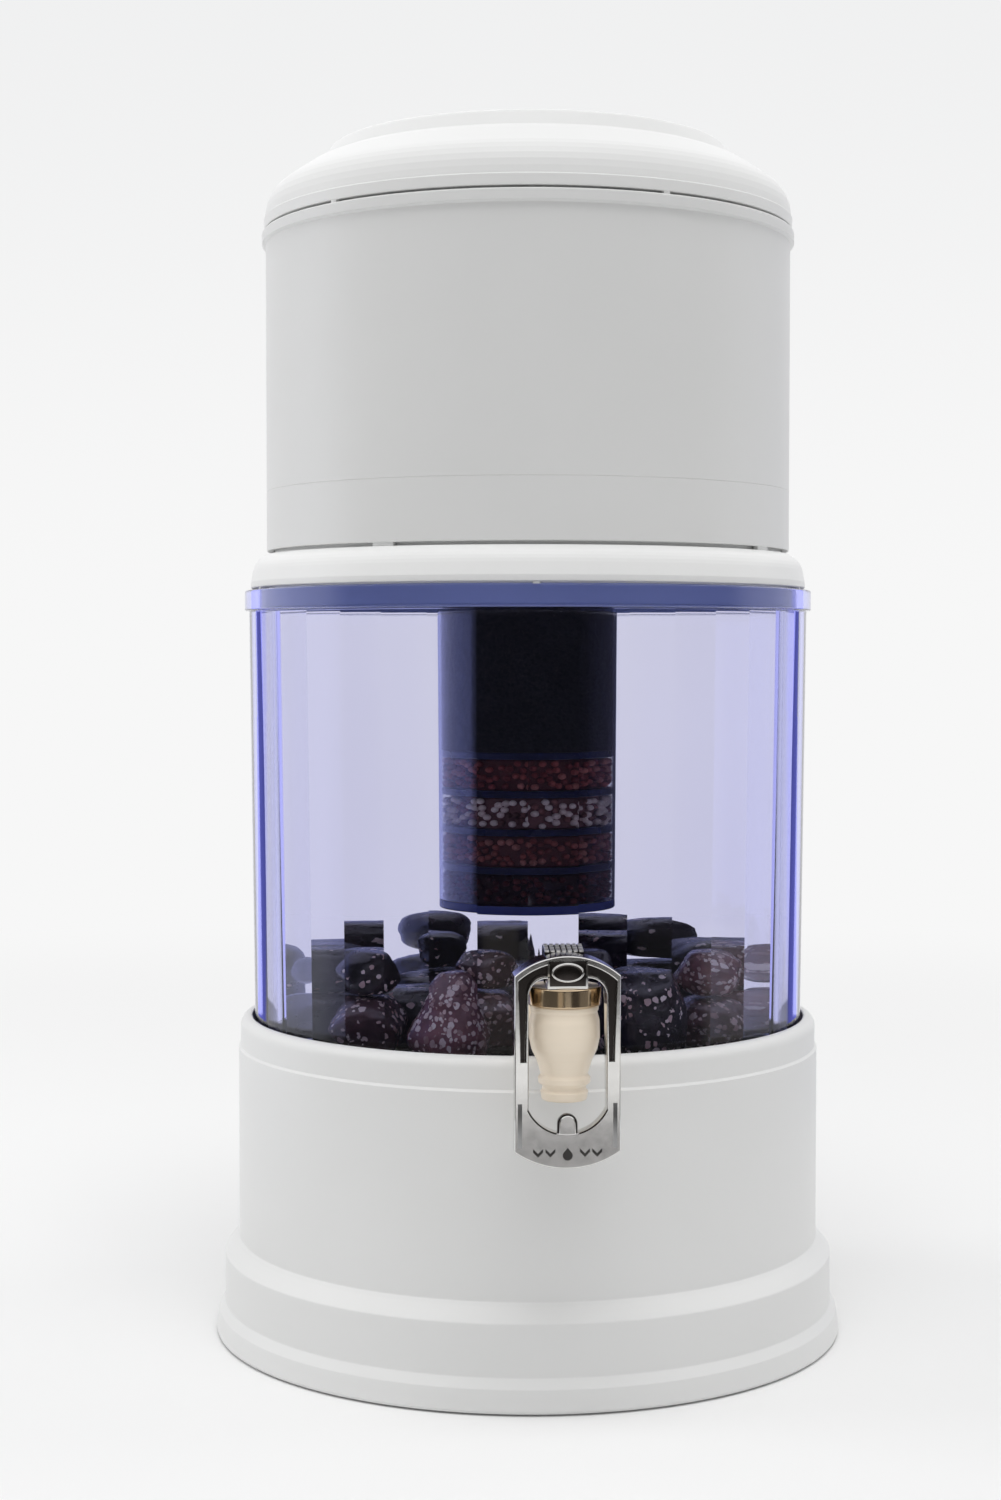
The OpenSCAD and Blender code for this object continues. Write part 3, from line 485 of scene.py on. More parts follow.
def clear_tank():
    tank = temporary("clear_tank_body", lathe([
        (0, 127, 0), (122.3, 127, 2), (124.31, 320.6, 0.4), (126.2, 320.6, 0.7), (126.2, 329.5, 0.7), (0, 329.5, 0),
    ], 216, 16))
    hole = bmesh.new()
    bmesh.ops.create_cone(
        hole, cap_ends=True, segments=64, radius1=8.3 * MM, radius2=8.3 * MM, depth=40 * MM,
        matrix=Matrix.Translation((0, -118 * MM, TAP_Z * MM)) @ Matrix.Rotation(math.pi / 2, 4, "X"),
    )
    land = bmesh.new()
    bmesh.ops.create_cone(
        land, cap_ends=True, segments=64, radius1=14 * MM, radius2=14 * MM, depth=10 * MM,
        matrix=Matrix.Translation((0, -126.521 * MM, TAP_Z * MM)) @ Matrix.Rotation(math.pi / 2, 4, "X"),
    )
    inner_land = bmesh.new()
    bmesh.ops.create_cone(
        inner_land, cap_ends=True, segments=64, radius1=14.5 * MM, radius2=14.5 * MM, depth=10 * MM,
        matrix=Matrix.Translation((0, -109.708 * MM, TAP_Z * MM)) @ Matrix.Rotation(math.pi / 2, 4, "X"),
    )
    cuts = [
        facet_prism(113.9, 117.05, 132, 333),
        lathe([(0, 319.8, 0), (116.6, 319.8, 0), (120.2, 320.0, 0), (120.2, 335, 0), (0, 335, 0)], 216),
        hole, land, inner_land,
    ]
    cutters = []
    for i, cut in enumerate(cuts):
        cutter = temporary(f"tank_cut_{i}", cut)
        step = tank.modifiers.new("cut", "BOOLEAN")
        step.operation = "DIFFERENCE"
        step.solver = "EXACT"
        step.object = cutter
        cutters.append(cutter)
    mesh = baked(tank)
    for cutter in cutters:
        bpy.data.objects.remove(cutter)
    finished(
        "faceted_tank", mesh, tank_clear.material, "lower_tank", ["clear_tank"], 6
    )


# ---------- Stones ----------


def islands(shape):
    """The loose parts of a shape, each as a list of its faces."""
    left = set(shape.faces)
    groups = []
    while left:
        todo = [left.pop()]
        group = []
        while todo:
            face = todo.pop()
            group.append(face)
            for edge in face.edges:
                for other in edge.link_faces:
                    if other in left:
                        left.remove(other)
                        todo.append(other)
        groups.append(group)
    return groups


SHOW_STONES = (
    (-0.050, -0.088, 0.150, 1.0), (0.055, -0.088, 0.150, 0.30), (0.085, -0.060, 0.160, 0.95),
    (0.095, -0.020, 0.150, 0.8), (-0.090, -0.040, 0.150, 0.5), (-0.075, -0.070, 0.170, 0.2),
)


PEAKED_STONE = (-0.050, -0.088, 0.150)


def stones():
    """Each stone is drawn in from its own block: edges worn round, faces broken and pitted."""
    chance = random.Random(7)
    source = bmesh.new()
    source.from_mesh(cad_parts["mineral_stones"].data)
    bmesh.ops.remove_doubles(source, verts=source.verts, dist=1e-6)
    groups = islands(source)
    groups.sort(key=lambda g: tuple(round(c, 4) for c in g[0].calc_center_median()))
    rubble = bmesh.new()
    tones = []
    for number, group in enumerate(groups):
        corners = list({v for face in group for v in face.verts})
        numbers = {v: i for i, v in enumerate(corners)}
        tree = BVHTree.FromPolygons([v.co for v in corners], [[numbers[v] for v in face.verts] for face in group])
        low = Vector([min(v.co[i] for v in corners) for i in range(3)])
        high = Vector([max(v.co[i] for v in corners) for i in range(3)])
        middle = (low + high) / 2
        ball = bmesh.new()
        bmesh.ops.create_icosphere(ball, subdivisions=5, radius=1.0)
        for v in ball.verts:
            away = v.co.normalized()
            hit = tree.ray_cast(middle + away * 0.2, -away)[0] or middle
            blunt = ((away.x ** 2 + away.y ** 2) ** 2.5 + abs(away.z) ** 5) ** 0.2
            full = middle + Vector([away[i] / blunt * (high[i] - low[i]) / 2 for i in range(3)])
            v.co = hit.lerp(full, 0.35 if middle.y < -0.045 else 0.9)
        for _ in range(5):
            away = Vector((chance.uniform(-1, 1), chance.uniform(-1, 1), chance.uniform(-0.6, 1))).normalized()
            reach = 0.90 * max((v.co - middle).dot(away) for v in ball.verts)
            for v in ball.verts:
                over = (v.co - middle).dot(away) - reach
                if over > 0:
                    v.co -= away * over * 0.85
        for _ in range(6):
            bmesh.ops.smooth_vert(
                ball, verts=ball.verts, factor=0.5, use_axis_x=True, use_axis_y=True, use_axis_z=True
            )
        span = high - low
        if (middle - Vector(PEAKED_STONE)).length < 0.018:
            peak = low + Vector((span.x * 0.62, span.y * 0.45, 0))
            for v in ball.verts:
                rise = max(0.0, (v.co.z - low.z) / span.z - 0.3) / 0.7
                v.co.x = peak.x + (v.co.x - peak.x) * (1 - 0.60 * rise)
                v.co.y = peak.y + (v.co.y - peak.y) * (1 - 0.50 * rise)
        shift = Vector((number * 0.37, number * 0.11, 0))
        for v in ball.verts:
            broad = 0.5 + 0.5 * noise.fractal((v.co + shift) * 55, 0.8, 2.1, 4)
            chips = noise.cell((v.co + shift) * 140)
            depth = 0.0014 * min(max(broad, 0), 1) + 0.00025 * chips
            v.co += (middle - v.co).normalized() * depth
        tone = chance.random() * (0.75 if middle.y < -0.045 else 0.15)
        for x, y, z, own in SHOW_STONES:
            if (middle - Vector((x, y, z))).length < 0.018:
                tone = own
        tones += [tone] * len(ball.verts)
        part = bpy.data.meshes.new("part")
        ball.to_mesh(part)
        rubble.from_mesh(part)
        bpy.data.meshes.remove(part)
        ball.free()
    source.free()
    mesh = bpy.data.meshes.new("stone_pile")
    rubble.to_mesh(mesh)
    rubble.free()
    tone = mesh.attributes.new("tone", "FLOAT", "POINT")
    tone.data.foreach_set("value", tones)
    finished("stone_pile", mesh, stone_finish.material, "lower_tank", ["mineral_stones"], 60)


# ---------- Collar, upper tank and lid ----------


def collar():
    ring = lathe([
        (116.6, 329.0, 0.1), (119.3, 329.0, 0.1), (119.3, 330.5, 0.1), (123.1, 330.5, 0.1), (123.5, 330.9, 0.1),
        (123.5, 333.3, 0.4), (121.7, 342.5, 9), (116.4, 345.5, 1.4), (112.8, 345.5, 0.2), (112.8, 351, 0.8),
        (110.8, 351, 0.8), (110.8, 342.5, 1), (116.6, 342.5, 2),
    ])
    tabs = [slab((119.7, -1.5, 329.5), (123.0, 1.5, 330.6), 72 * i - 93.4, 0.15) for i in range(5)]
    piece("collar_shell_painted_light", [ring] + tabs, collar_white_painted_light.material, "collar", ["collar_ring"])
    sleeve = lathe([(116.6, 321.5, 0.4), (119.6, 321.5, 0.8), (119.6, 330.0, 0.3), (116.6, 330.0, 0.1)])
    piece("collar_sleeve", [sleeve], sleeve_blue.material, "collar")


def upper():
    shell = lathe([
        (6.3, 367, 0), (113.4, 367, 1.5), (113.4, 347, 0.3), (116.1, 347, 0.1), (116.4, 347.3, 0.1),
        (116.4, 372.75, 0), (116.22, 372.9, 0), (116.22, 373.1, 0), (116.4, 373.25, 0),
        (116.4, 481.5, 0.3), (118.1, 482.1, 0.5), (118.1, 486.8, 0.8), (113.4, 486.8, 0.8), (113.4, 370, 3),
        (6.3, 370, 0.3),
    ])
    feet = [slab((113.5, -5, 345.5), (115.8, 5, 347.2), 90 * i - 125.7, 0.2) for i in range(4)]
    piece("upper_shell", [shell] + feet, upper_white_painted_shade.material, "upper", ["upper_tank"])


def lid():
    dome = lathe([
        (117.0, 488, 0.4), (117.3, 492.5, 0.3), (116.8, 492.9, 0.2), (115.7, 503.5, 16), (98, 515.3, 10),
        (92, 517.5, 1.5), (87.5, 524.5, 3), (0, 527, 0), (0, 524.4, 0), (87.5, 521.9, 2), (92, 514.9, 1),
        (98, 512.7, 3), (110.2, 500.9, 2), (110.2, 481, 0.6), (112.8, 481, 1), (112.8, 488, 0.3),
    ])
    tabs = [slab((114.4, -1.5, 486.8), (116.7, 1.5, 488.2), 72 * i - 138.3, 0.15) for i in range(5)]
    piece("lid_shell", [dome] + tabs, white.material, "lid", ["lid"])


# ---------- Cartridge ----------

LAYERS = (
    ("maroon_ball_layer", maroon_balls, "maroon_balls", 11),
    ("brown_ball_layer", brown_balls, "brown_balls", 23),
    ("white_ball_layer", white_balls, "white_balls", 37),
    ("red_ball_layer", red_balls, "red_balls", 41),
)


TUBE_WALL = 0.8


def cartridge_radius(height):
    return 38.4 - 0.9 * (354 - height) / (354 - 191.6)


def ball_bed_tree():
    """Geometry Nodes tree that lays balls at random on a surface, no two nearer than their spacing."""
    tree = bpy.data.node_groups.new("ball_bed", "GeometryNodeTree")
    tree.is_modifier = True
    sockets = (
        ("Surface", "INPUT", "NodeSocketGeometry"), ("Ball diameter", "INPUT", "NodeSocketFloat"),
        ("Spacing", "INPUT", "NodeSocketFloat"), ("Seed", "INPUT", "NodeSocketInt"),
        ("Finish", "INPUT", "NodeSocketMaterial"), ("Balls", "OUTPUT", "NodeSocketGeometry"),
    )
    for name, way, kind in sockets:
        tree.interface.new_socket(name, in_out=way, socket_type=kind)
    nodes, links = tree.nodes, tree.links
    given = nodes.new("NodeGroupInput")
    result = nodes.new("NodeGroupOutput")
    spots = nodes.new("GeometryNodeDistributePointsOnFaces")
    spots.distribute_method = "POISSON"
    spots.inputs["Density Max"].default_value = 400000
    ball = nodes.new("GeometryNodeMeshUVSphere")
    ball.inputs["Segments"].default_value = 10
    ball.inputs["Rings"].default_value = 7
    half = nodes.new("ShaderNodeMath")
    half.operation = "MULTIPLY"
    half.inputs[1].default_value = 0.5
    soft = nodes.new("GeometryNodeSetShadeSmooth")
    turn = nodes.new("FunctionNodeRandomValue")
    turn.data_type = "FLOAT_VECTOR"
    turn.inputs["Max"].default_value = (6.28, 6.28, 6.28)
    size = nodes.new("FunctionNodeRandomValue")
    size.data_type = "FLOAT"
    size.inputs[2].default_value = 0.86
    size.inputs[3].default_value = 1.0
    lay = nodes.new("GeometryNodeInstanceOnPoints")
    tone = nodes.new("FunctionNodeRandomValue")
    tone.data_type = "FLOAT"
    tone.inputs[2].default_value = 0.021
    keep = nodes.new("GeometryNodeStoreNamedAttribute")
    keep.data_type = "FLOAT"
    keep.domain = "INSTANCE"
    keep.inputs["Name"].default_value = "tone"
    solid = nodes.new("GeometryNodeRealizeInstances")
    coat = nodes.new("GeometryNodeSetMaterial")
    links.new(given.outputs["Surface"], spots.inputs["Mesh"])
    links.new(given.outputs["Spacing"], spots.inputs["Distance Min"])
    links.new(given.outputs["Seed"], spots.inputs["Seed"])
    links.new(given.outputs["Seed"], turn.inputs["Seed"])
    links.new(given.outputs["Seed"], size.inputs["Seed"])
    links.new(given.outputs["Seed"], tone.inputs["Seed"])
    links.new(given.outputs["Ball diameter"], half.inputs[0])
    links.new(half.outputs[0], ball.inputs["Radius"])
    links.new(ball.outputs["Mesh"], soft.inputs["Geometry"])
    links.new(spots.outputs["Points"], lay.inputs["Points"])
    links.new(soft.outputs["Geometry"], lay.inputs["Instance"])
    links.new(turn.outputs["Value"], lay.inputs["Rotation"])
    links.new(size.outputs[1], lay.inputs["Scale"])
    links.new(lay.outputs["Instances"], keep.inputs["Geometry"])
    links.new(tone.outputs[1], keep.inputs["Value"])
    links.new(keep.outputs["Geometry"], solid.inputs["Geometry"])
    links.new(solid.outputs["Geometry"], coat.inputs["Geometry"])
    links.new(given.outputs["Finish"], coat.inputs["Material"])
    links.new(coat.outputs["Geometry"], result.inputs["Balls"])
    return tree


def band(radius_low, radius_high, low, high, turns=96):
    """An open band round the axis for balls to lie on."""
    shape = bmesh.new()
    rings = [
        [
            shape.verts.new((r * MM * math.cos(2 * math.pi * k / turns), r * MM * math.sin(2 * math.pi * k / turns), z * MM))
            for k in range(turns)
        ]
        for r, z in ((radius_low, low), (radius_high, high))
    ]
    for k in range(turns):
        j = (k + 1) % turns
        shape.faces.new([rings[0][k], rings[0][j], rings[1][j], rings[1][k]])
    return shape


def ball_layer(index, tree):
    node, finish, slot, seed = LAYERS[index]
    low = 191.6 + 16.7 * index
    high = low + 13.8
    ball = 2.9
    inset = TUBE_WALL + ball / 2 + 0.05
    surface = temporary(
        "ball_surface", band(cartridge_radius(low) - inset, cartridge_radius(high) - inset, low + ball / 2, high - ball / 2)
    )
    step = surface.modifiers.new("balls", "NODES")
    step.node_group = tree
    keys = {item.name: item.identifier for item in tree.interface.items_tree if item.in_out == "INPUT"}
    step[keys["Ball diameter"]] = ball * MM
    step[keys["Spacing"]] = 2.3 * MM
    step[keys["Seed"]] = seed
    step[keys["Finish"]] = finish.material
    balls = baked(surface)
    # The core behind the balls takes the dark pit colour: painted shade in the gaps between the balls.
    core_r = cartridge_radius(low) - TUBE_WALL - 2.7
    core = lathe([(0, low, 0), (core_r, low, 1), (core_r, high, 1), (0, high, 0)], 48, 3)
    core_mesh = bpy.data.meshes.new("core")
    core.to_mesh(core_mesh)
    core.free()
    whole = bmesh.new()
    tones = []
    for mesh in (balls, core_mesh):
        whole.from_mesh(mesh)
        held = mesh.attributes.get("tone")
        values = [0.0] * len(mesh.vertices)
        if held:
            held.data.foreach_get("value", values)
        tones += values
        bpy.data.meshes.remove(mesh)
    mesh = bpy.data.meshes.new(slot + "_bed")
    stale = whole.verts.layers.float.get("tone")
    if stale:
        whole.verts.layers.float.remove(stale)
    whole.to_mesh(mesh)
    whole.free()
    tone = mesh.attributes.new("tone", "FLOAT", "POINT")
    tone.data.foreach_set("value", tones)
    finished(slot + "_bed", mesh, finish.material, "upper", [node], 60)


def cartridge():
    tree = ball_bed_tree()
    for index in range(len(LAYERS)):
        ball_layer(index, tree)
    low_r, high_r = cartridge_radius(191.6), cartridge_radius(354)
    piece(
        "cartridge_tube",
        [lathe([
            (low_r - TUBE_WALL, 191.6, 0.1), (low_r, 191.6, 0.3), (high_r, 354, 0.3), (high_r - TUBE_WALL, 354, 0.1),
        ], 144)],
        shell_clear.material, "upper", ["cartridge_shell"],
    )
    discs = []
    for low in (205.4, 222.1, 238.8, 255.5):
        reach = cartridge_radius(low) - TUBE_WALL - 0.05
        discs.append(lathe([(0, low, 0), (reach, low, 0.4), (reach, low + 3, 0.4), (0, low + 3, 0)], 144, 4))
    piece("layer_discs", discs, disc_blue.material, "upper", ["separator_discs"])
    outlet = lathe([(0, 187.7, 0), (low_r, 187.7, 0.8), (low_r, 191.5, 0.3), (0, 191.5, 0)], 144, 4)
    piece("outlet_disc", [outlet], blue.material, "upper", ["cartridge_outlet"])
    carbon_r = cartridge_radius(258.4) - TUBE_WALL - 0.05
    top_r = cartridge_radius(352) - TUBE_WALL - 0.05
    piece(
        "carbon_bed",
        [lathe([(0, 258.4, 0), (carbon_r, 258.4, 0.5), (top_r, 352, 0.5), (0, 352, 0)], 144)],
        carbon.material, "upper", ["carbon_fill"],
    )


# ---------- Tap ----------


def tap():
    body = to_tap(lathe([
        (8.6, 14.3, 0.3), (12.1, 14.3, 0.4), (12.1, 9.0, 0.1), (13.2, 9.0, 0.4), (13.2, 7.3, 0.5),
        (12.7, 6.4, 0.4), (13.6, 3.0, 4), (13.75, -3.2, 5), (12.75, -8.0, 4.0), (10.7, -12.2, 5.0),
        (9.1, -17.7, 0.8), (10.1, -19.0, 0.5), (10.1, -20.9, 0.5), (8.5, -22.2, 0.4), (8.5, -23.4, 0.4),
        (9.25, -24.4, 0.4), (8.7, -27.7, 0.9),
        (5, -27.7, 0.6), (5, -8, 0.2), (6.4, -8, 0.2), (6.4, -9, 0.1), (8.6, -9, 0.3),
    ], 128, 10))
    thread = []
    for i in range(13):
        thread += [(7.5, 38.0 + 1.6 * i, 0.15), (8.0, 38.5 + 1.6 * i, 0.12), (8.0, 38.9 + 1.6 * i, 0.12)]
    shank = along_shank(lathe(
        [(4.5, 9.3, 0), (9.5, 9.3, 0), (9.5, 33.5, 1.2), (13, 33.5, 1), (13, 36.5, 0.3), (8, 36.5, 0)]
        + thread + [(7.5, 59.3, 0.3), (4.5, 59.3, 0.3)],
        96, 4,
    ))
    piece("tap_moulding", [body, shank], ivory.material, "lower_tank", ["tap_body"])
    cap = to_tap(lathe([
        (2.56, 16.5, 0.15), (14.3, 16.5, 0.7), (14.3, 9.2, 0.5), (12.15, 9.2, 0.2), (12.15, 14.35, 0), (2.56, 14.35, 0),
    ], 128, 8))
    piece("tap_cap_plated", [cap], cap_metal.material, "lower_tank", ["tap_cap"])
    disc = to_tap(lathe([(2.7, 15.5, 0.1), (13.2, 15.5, 0.1), (13.2, 16.58, 0.2), (2.7, 16.58, 0.2)], 96, 4))
    piece("tap_cap_disc", [disc], ivory.material, "lower_tank")


def coil_tree():
    """Geometry Nodes tree that winds a round wire to a coil which stands on its own foot."""
    tree = bpy.data.node_groups.new("wound_coil", "GeometryNodeTree")
    tree.is_modifier = True
    sockets = (
        ("Coil radius", "INPUT", "NodeSocketFloat"), ("Wire radius", "INPUT", "NodeSocketFloat"),
        ("Height", "INPUT", "NodeSocketFloat"), ("Turns", "INPUT", "NodeSocketFloat"),
        ("Finish", "INPUT", "NodeSocketMaterial"), ("Coil", "OUTPUT", "NodeSocketGeometry"),
    )
    for name, way, kind in sockets:
        tree.interface.new_socket(name, in_out=way, socket_type=kind)
    nodes, links = tree.nodes, tree.links
    given = nodes.new("NodeGroupInput")
    result = nodes.new("NodeGroupOutput")
    path = nodes.new("GeometryNodeCurveSpiral")
    path.inputs["Resolution"].default_value = 40
    section = nodes.new("GeometryNodeCurvePrimitiveCircle")
    section.inputs["Resolution"].default_value = 14
    sweep = nodes.new("GeometryNodeCurveToMesh")
    sweep.inputs["Fill Caps"].default_value = True
    soft = nodes.new("GeometryNodeSetShadeSmooth")
    solid = nodes.new("GeometryNodeRealizeInstances")
    coat = nodes.new("GeometryNodeSetMaterial")
    links.new(given.outputs["Turns"], path.inputs["Rotations"])
    links.new(given.outputs["Coil radius"], path.inputs["Start Radius"])
    links.new(given.outputs["Coil radius"], path.inputs["End Radius"])
    links.new(given.outputs["Height"], path.inputs["Height"])
    links.new(given.outputs["Wire radius"], section.inputs["Radius"])
    links.new(path.outputs["Curve"], sweep.inputs["Curve"])
    links.new(section.outputs["Curve"], sweep.inputs["Profile Curve"])
    links.new(sweep.outputs["Mesh"], soft.inputs["Geometry"])
    links.new(soft.outputs["Geometry"], solid.inputs["Geometry"])
    links.new(solid.outputs["Geometry"], coat.inputs["Geometry"])
    links.new(given.outputs["Finish"], coat.inputs["Material"])
    links.new(coat.outputs["Geometry"], result.inputs["Coil"])
    return tree


def spring():
    """The valve's return spring: it rides on the stem, under the cap."""
    coil_r, wire_r, turns = 5.2, 0.45, 6
    low, high = (corner[2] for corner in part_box("tap_spring"))
    wound = temporary("wound_coil", bmesh.new())
    step = wound.modifiers.new("coil", "NODES")
    tree = coil_tree()
    step.node_group = tree
    keys = {item.name: item.identifier for item in tree.interface.items_tree if item.in_out == "INPUT"}
    step[keys["Coil radius"]] = coil_r * MM
    step[keys["Wire radius"]] = wire_r * MM
    step[keys["Height"]] = high - low - 2 * wire_r * MM
    step[keys["Turns"]] = float(turns)
    step[keys["Finish"]] = wire.material
    mesh = baked(wound)
    mesh.transform(Matrix.Translation((0, -TAP_R * MM, low + wire_r * MM)))
    coil = finished("coil_spring", mesh, wire.material, "valve", ["tap_spring"], 60)
    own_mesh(coil)


def oval_tube(half_w, half_h, y, z, thick, turns=96, sides=12):
    """A round wire bent to an oval that faces the front."""
    shape = bmesh.new()
    rings = []
    for i in range(turns):
        t = 2 * math.pi * i / turns
        out = Vector((half_h * math.cos(t), 0, half_w * math.sin(t))).normalized()
        middle = Vector((half_w * math.cos(t), y, z + half_h * math.sin(t)))
        ring = []
        for k in range(sides):
            s = 2 * math.pi * k / sides
            ring.append(shape.verts.new((middle + out * thick * math.cos(s) + Vector((0, thick * math.sin(s), 0))) * MM))
        rings.append(ring)
    for i in range(turns):
        a, b = rings[i], rings[(i + 1) % turns]
        for k in range(sides):
            j = (k + 1) % sides
            shape.faces.new([a[k], a[j], b[j], b[k]])
    bmesh.ops.recalc_face_normals(shape, faces=shape.faces)
    return shape


def lens(half_w, half_h, y, z, hollow, back, turns=96, rings=8):
    """An oval plate that faces the front, its face sunk towards the middle."""
    shape = bmesh.new()
    front = [shape.verts.new((0, (y + hollow) * MM, z * MM))]
    circles = []
    for i in range(1, rings + 1):
        share = i / rings
        depth = y + hollow * (1 - share * share)
        circles.append([
            shape.verts.new((
                half_w * share * math.cos(2 * math.pi * k / turns) * MM, depth * MM,
                (z + half_h * share * math.sin(2 * math.pi * k / turns)) * MM,
            ))
            for k in range(turns)
        ])
    rear = [shape.verts.new((v.co.x, (y + back) * MM, v.co.z)) for v in circles[-1]]
    for k in range(turns):
        j = (k + 1) % turns
        shape.faces.new([front[0], circles[0][j], circles[0][k]])
        for a, b in zip(circles, circles[1:]):
            shape.faces.new([a[k], a[j], b[j], b[k]])
        shape.faces.new([circles[-1][k], circles[-1][j], rear[j], rear[k]])
    shape.faces.new(rear)
    bmesh.ops.recalc_face_normals(shape, faces=shape.faces)
    return shape


def flat_mark(outline, y, thick):
    """A thin raised shape that faces the front, from an outline of (x, z)."""
    shape = bmesh.new()
    front = [shape.verts.new((x * MM, y * MM, z * MM)) for x, z in outline]
    rear = [shape.verts.new((x * MM, (y + thick) * MM, z * MM)) for x, z in outline]
    shape.faces.new(front)
    shape.faces.new(rear)
    for i in range(len(outline)):
        j = (i + 1) % len(outline)
        shape.faces.new([front[i], front[j], rear[j], rear[i]])
    bmesh.ops.recalc_face_normals(shape, faces=shape.faces)
    return shape


def drop_outline(x, z, size):
    """A water drop with its tip up."""
    points = [(x, z + 1.55 * size)]
    for i in range(25):
        t = math.radians(35 - 250 * i / 24)
        points.append((x + size * math.cos(t), z + size * math.sin(t)))
    return points


LEVER_FRONT = -13.0
CROWN = 29.3


def arc_points(centre, radius, start, end, count):
    """Points on an arc, seen from the front, from one angle to another in degrees."""
    return [
        (
            centre[0] + radius * math.cos(math.radians(start + (end - start) * i / count)),
            centre[1] + radius * math.sin(math.radians(start + (end - start) * i / count)),
        )
        for i in range(count + 1)
    ]


def line_points(a, b, count):
    return [(a[0] + (b[0] - a[0]) * i / count, a[1] + (b[1] - a[1]) * i / count) for i in range(count + 1)]


def frame_loops():
    """Matching points on the right half of the lever's outer edge and of its opening, from crown to foot."""
    arch_end = math.degrees(math.acos(20.3 / 31))
    arch_mid = math.degrees(math.acos(10.5 / 31))
    foot_start = -math.degrees(math.acos(20.3 / 35))
    sag_start = -math.degrees(math.acos(14.9 / 16.5))
    sag_mid = sag_start + (-90 - sag_start) * 0.35
    outer = (
        arc_points((0, CROWN - 31), 31, 90, arch_mid, 10)[:-1]
        + arc_points((0, CROWN - 31), 31, arch_mid, arch_end, 12)[:-1]
        + line_points((20.3, 21.73), (20.3, -10.9), 20)[:-1]
        + line_points((20.3, -10.9), (20.3, -11.3), 1)[:-1]
        + line_points((20.3, -11.3), (20.3, -30), 12)[:-1]
        + line_points((20.3, -30), (20.3, -45.51), 8)[:-1]
        + arc_points((0, -17), 35, foot_start, -90, 20)
    )
    inner = (
        line_points((0, 20.7), (7.9, 20.7), 10)[:-1]
        + arc_points((7.9, 13.7), 7, 90, 0, 12)[:-1]
        + line_points((14.9, 13.7), (14.9, -10.9), 20)[:-1]
        + line_points((14.9, -10.9), (14.9, -11.3), 1)[:-1]
        + line_points((14.9, -11.3), (14.9, -29.4), 12)[:-1]
        + arc_points((0, -22.3), 16.5, sag_start, sag_mid, 8)[:-1]
        + arc_points((0, -22.3), 16.5, sag_mid, -90, 20)
    )
    outer += [(-x, z) for x, z in reversed(outer[1:-1])]
    inner += [(-x, z) for x, z in reversed(inner[1:-1])]
    return outer, inner


def lever_back(z):
    """How far back the lever reaches at a height: deep at its head and thin at its foot."""
    stops = [(-53, -7.4), (-26, -6.8), (13.3, -4.5), (23.3, 1.3), (30, 1.3)]
    for (z0, y0), (z1, y1) in zip(stops, stops[1:]):
        if z <= z1:
            return y0 + (y1 - y0) * (z - z0) / (z1 - z0)
    return stops[-1][1]


def lever_band():
    """The lever's frame as one band round its opening, with two lips and a groove between them."""
    outer, inner = frame_loops()
    shape = bmesh.new()
    rows = []
    for (x0, z0), (x1, z1) in zip(outer, inner):
        width = math.dist((x0, z0), (x1, z1))
        deep = 3.2 if z0 > -11.1 else 0.0
        slope = 0.22 if deep else 0.0
        y = LEVER_FRONT
        back = lever_back((z0 + z1) / 2)
        section = [
            (0, back), (0, y + 1.0), (0, y + 0.75), (0.16, y + 0.28), (0.5, y), (0.62, y), (2.1, y), (2.2, y),
            (2.2 + slope, y + 0.12 * (deep > 0)), (2.4 + slope, y + deep), (2.6 + slope, y + deep),
            (width - 1.2 - slope, y + deep), (width - 1.0 - slope, y + deep), (width - 0.9, y + 0.12 * (deep > 0)),
            (width - 0.8, y), (width - 0.72, y), (width - 0.4, y), (width - 0.3, y), (width - 0.1, y + 0.1),
            (width, y + 0.35), (width, y + 0.6), (width, back),
        ]
        rows.append([
            shape.verts.new((
                (x0 + (x1 - x0) * d / width) * MM, depth * MM, (z0 + (z1 - z0) * d / width) * MM,
            ))
            for d, depth in section
        ])
    for i, a in enumerate(rows):
        b = rows[(i + 1) % len(rows)]
        for k in range(len(a)):
            j = (k + 1) % len(a)
            shape.faces.new([a[k], a[j], b[j], b[k]])
    bmesh.ops.recalc_face_normals(shape, faces=shape.faces)
    return to_tap(shape)


def lining(holds, edges, front, rear):
    """A thin strip along the lever's band, where it holds, between two distances from the band's outer edge."""
    outer, inner = frame_loops()
    shape = bmesh.new()
    rows = []
    for (x0, z0), (x1, z1) in zip(outer, inner):
        if holds(x1, z0, z1):
            width = math.dist((x0, z0), (x1, z1))
            near, far = edges(width)
            rows.append((x0, [
                shape.verts.new((
                    (x0 + (x1 - x0) * d / width) * MM, (LEVER_FRONT + depth) * MM, (z0 + (z1 - z0) * d / width) * MM,
                ))
                for d, depth in ((near, rear), (near, front), (far, front), (far, rear))
            ]))
    for (x0, a), (x1, b) in zip(rows, rows[1:] + rows[:1]):
        if abs(x0 - x1) < 5:
            for k in range(4):
                j = (k + 1) % 4
                shape.faces.new([a[k], a[j], b[j], b[k]])
        else:
            shape.faces.new(a)
            shape.faces.new(b)
    bmesh.ops.recalc_face_normals(shape, faces=shape.faces)
    return to_tap(shape)


def tongue_outline(grow):
    """The tab at the foot of the opening, seen from the front, grown by some width."""
    half = 3.3 + grow
    return arc_points((0, -35.0), half, 0, 180, 24) + [(-half, -41.5 - grow), (half, -41.5 - grow)]


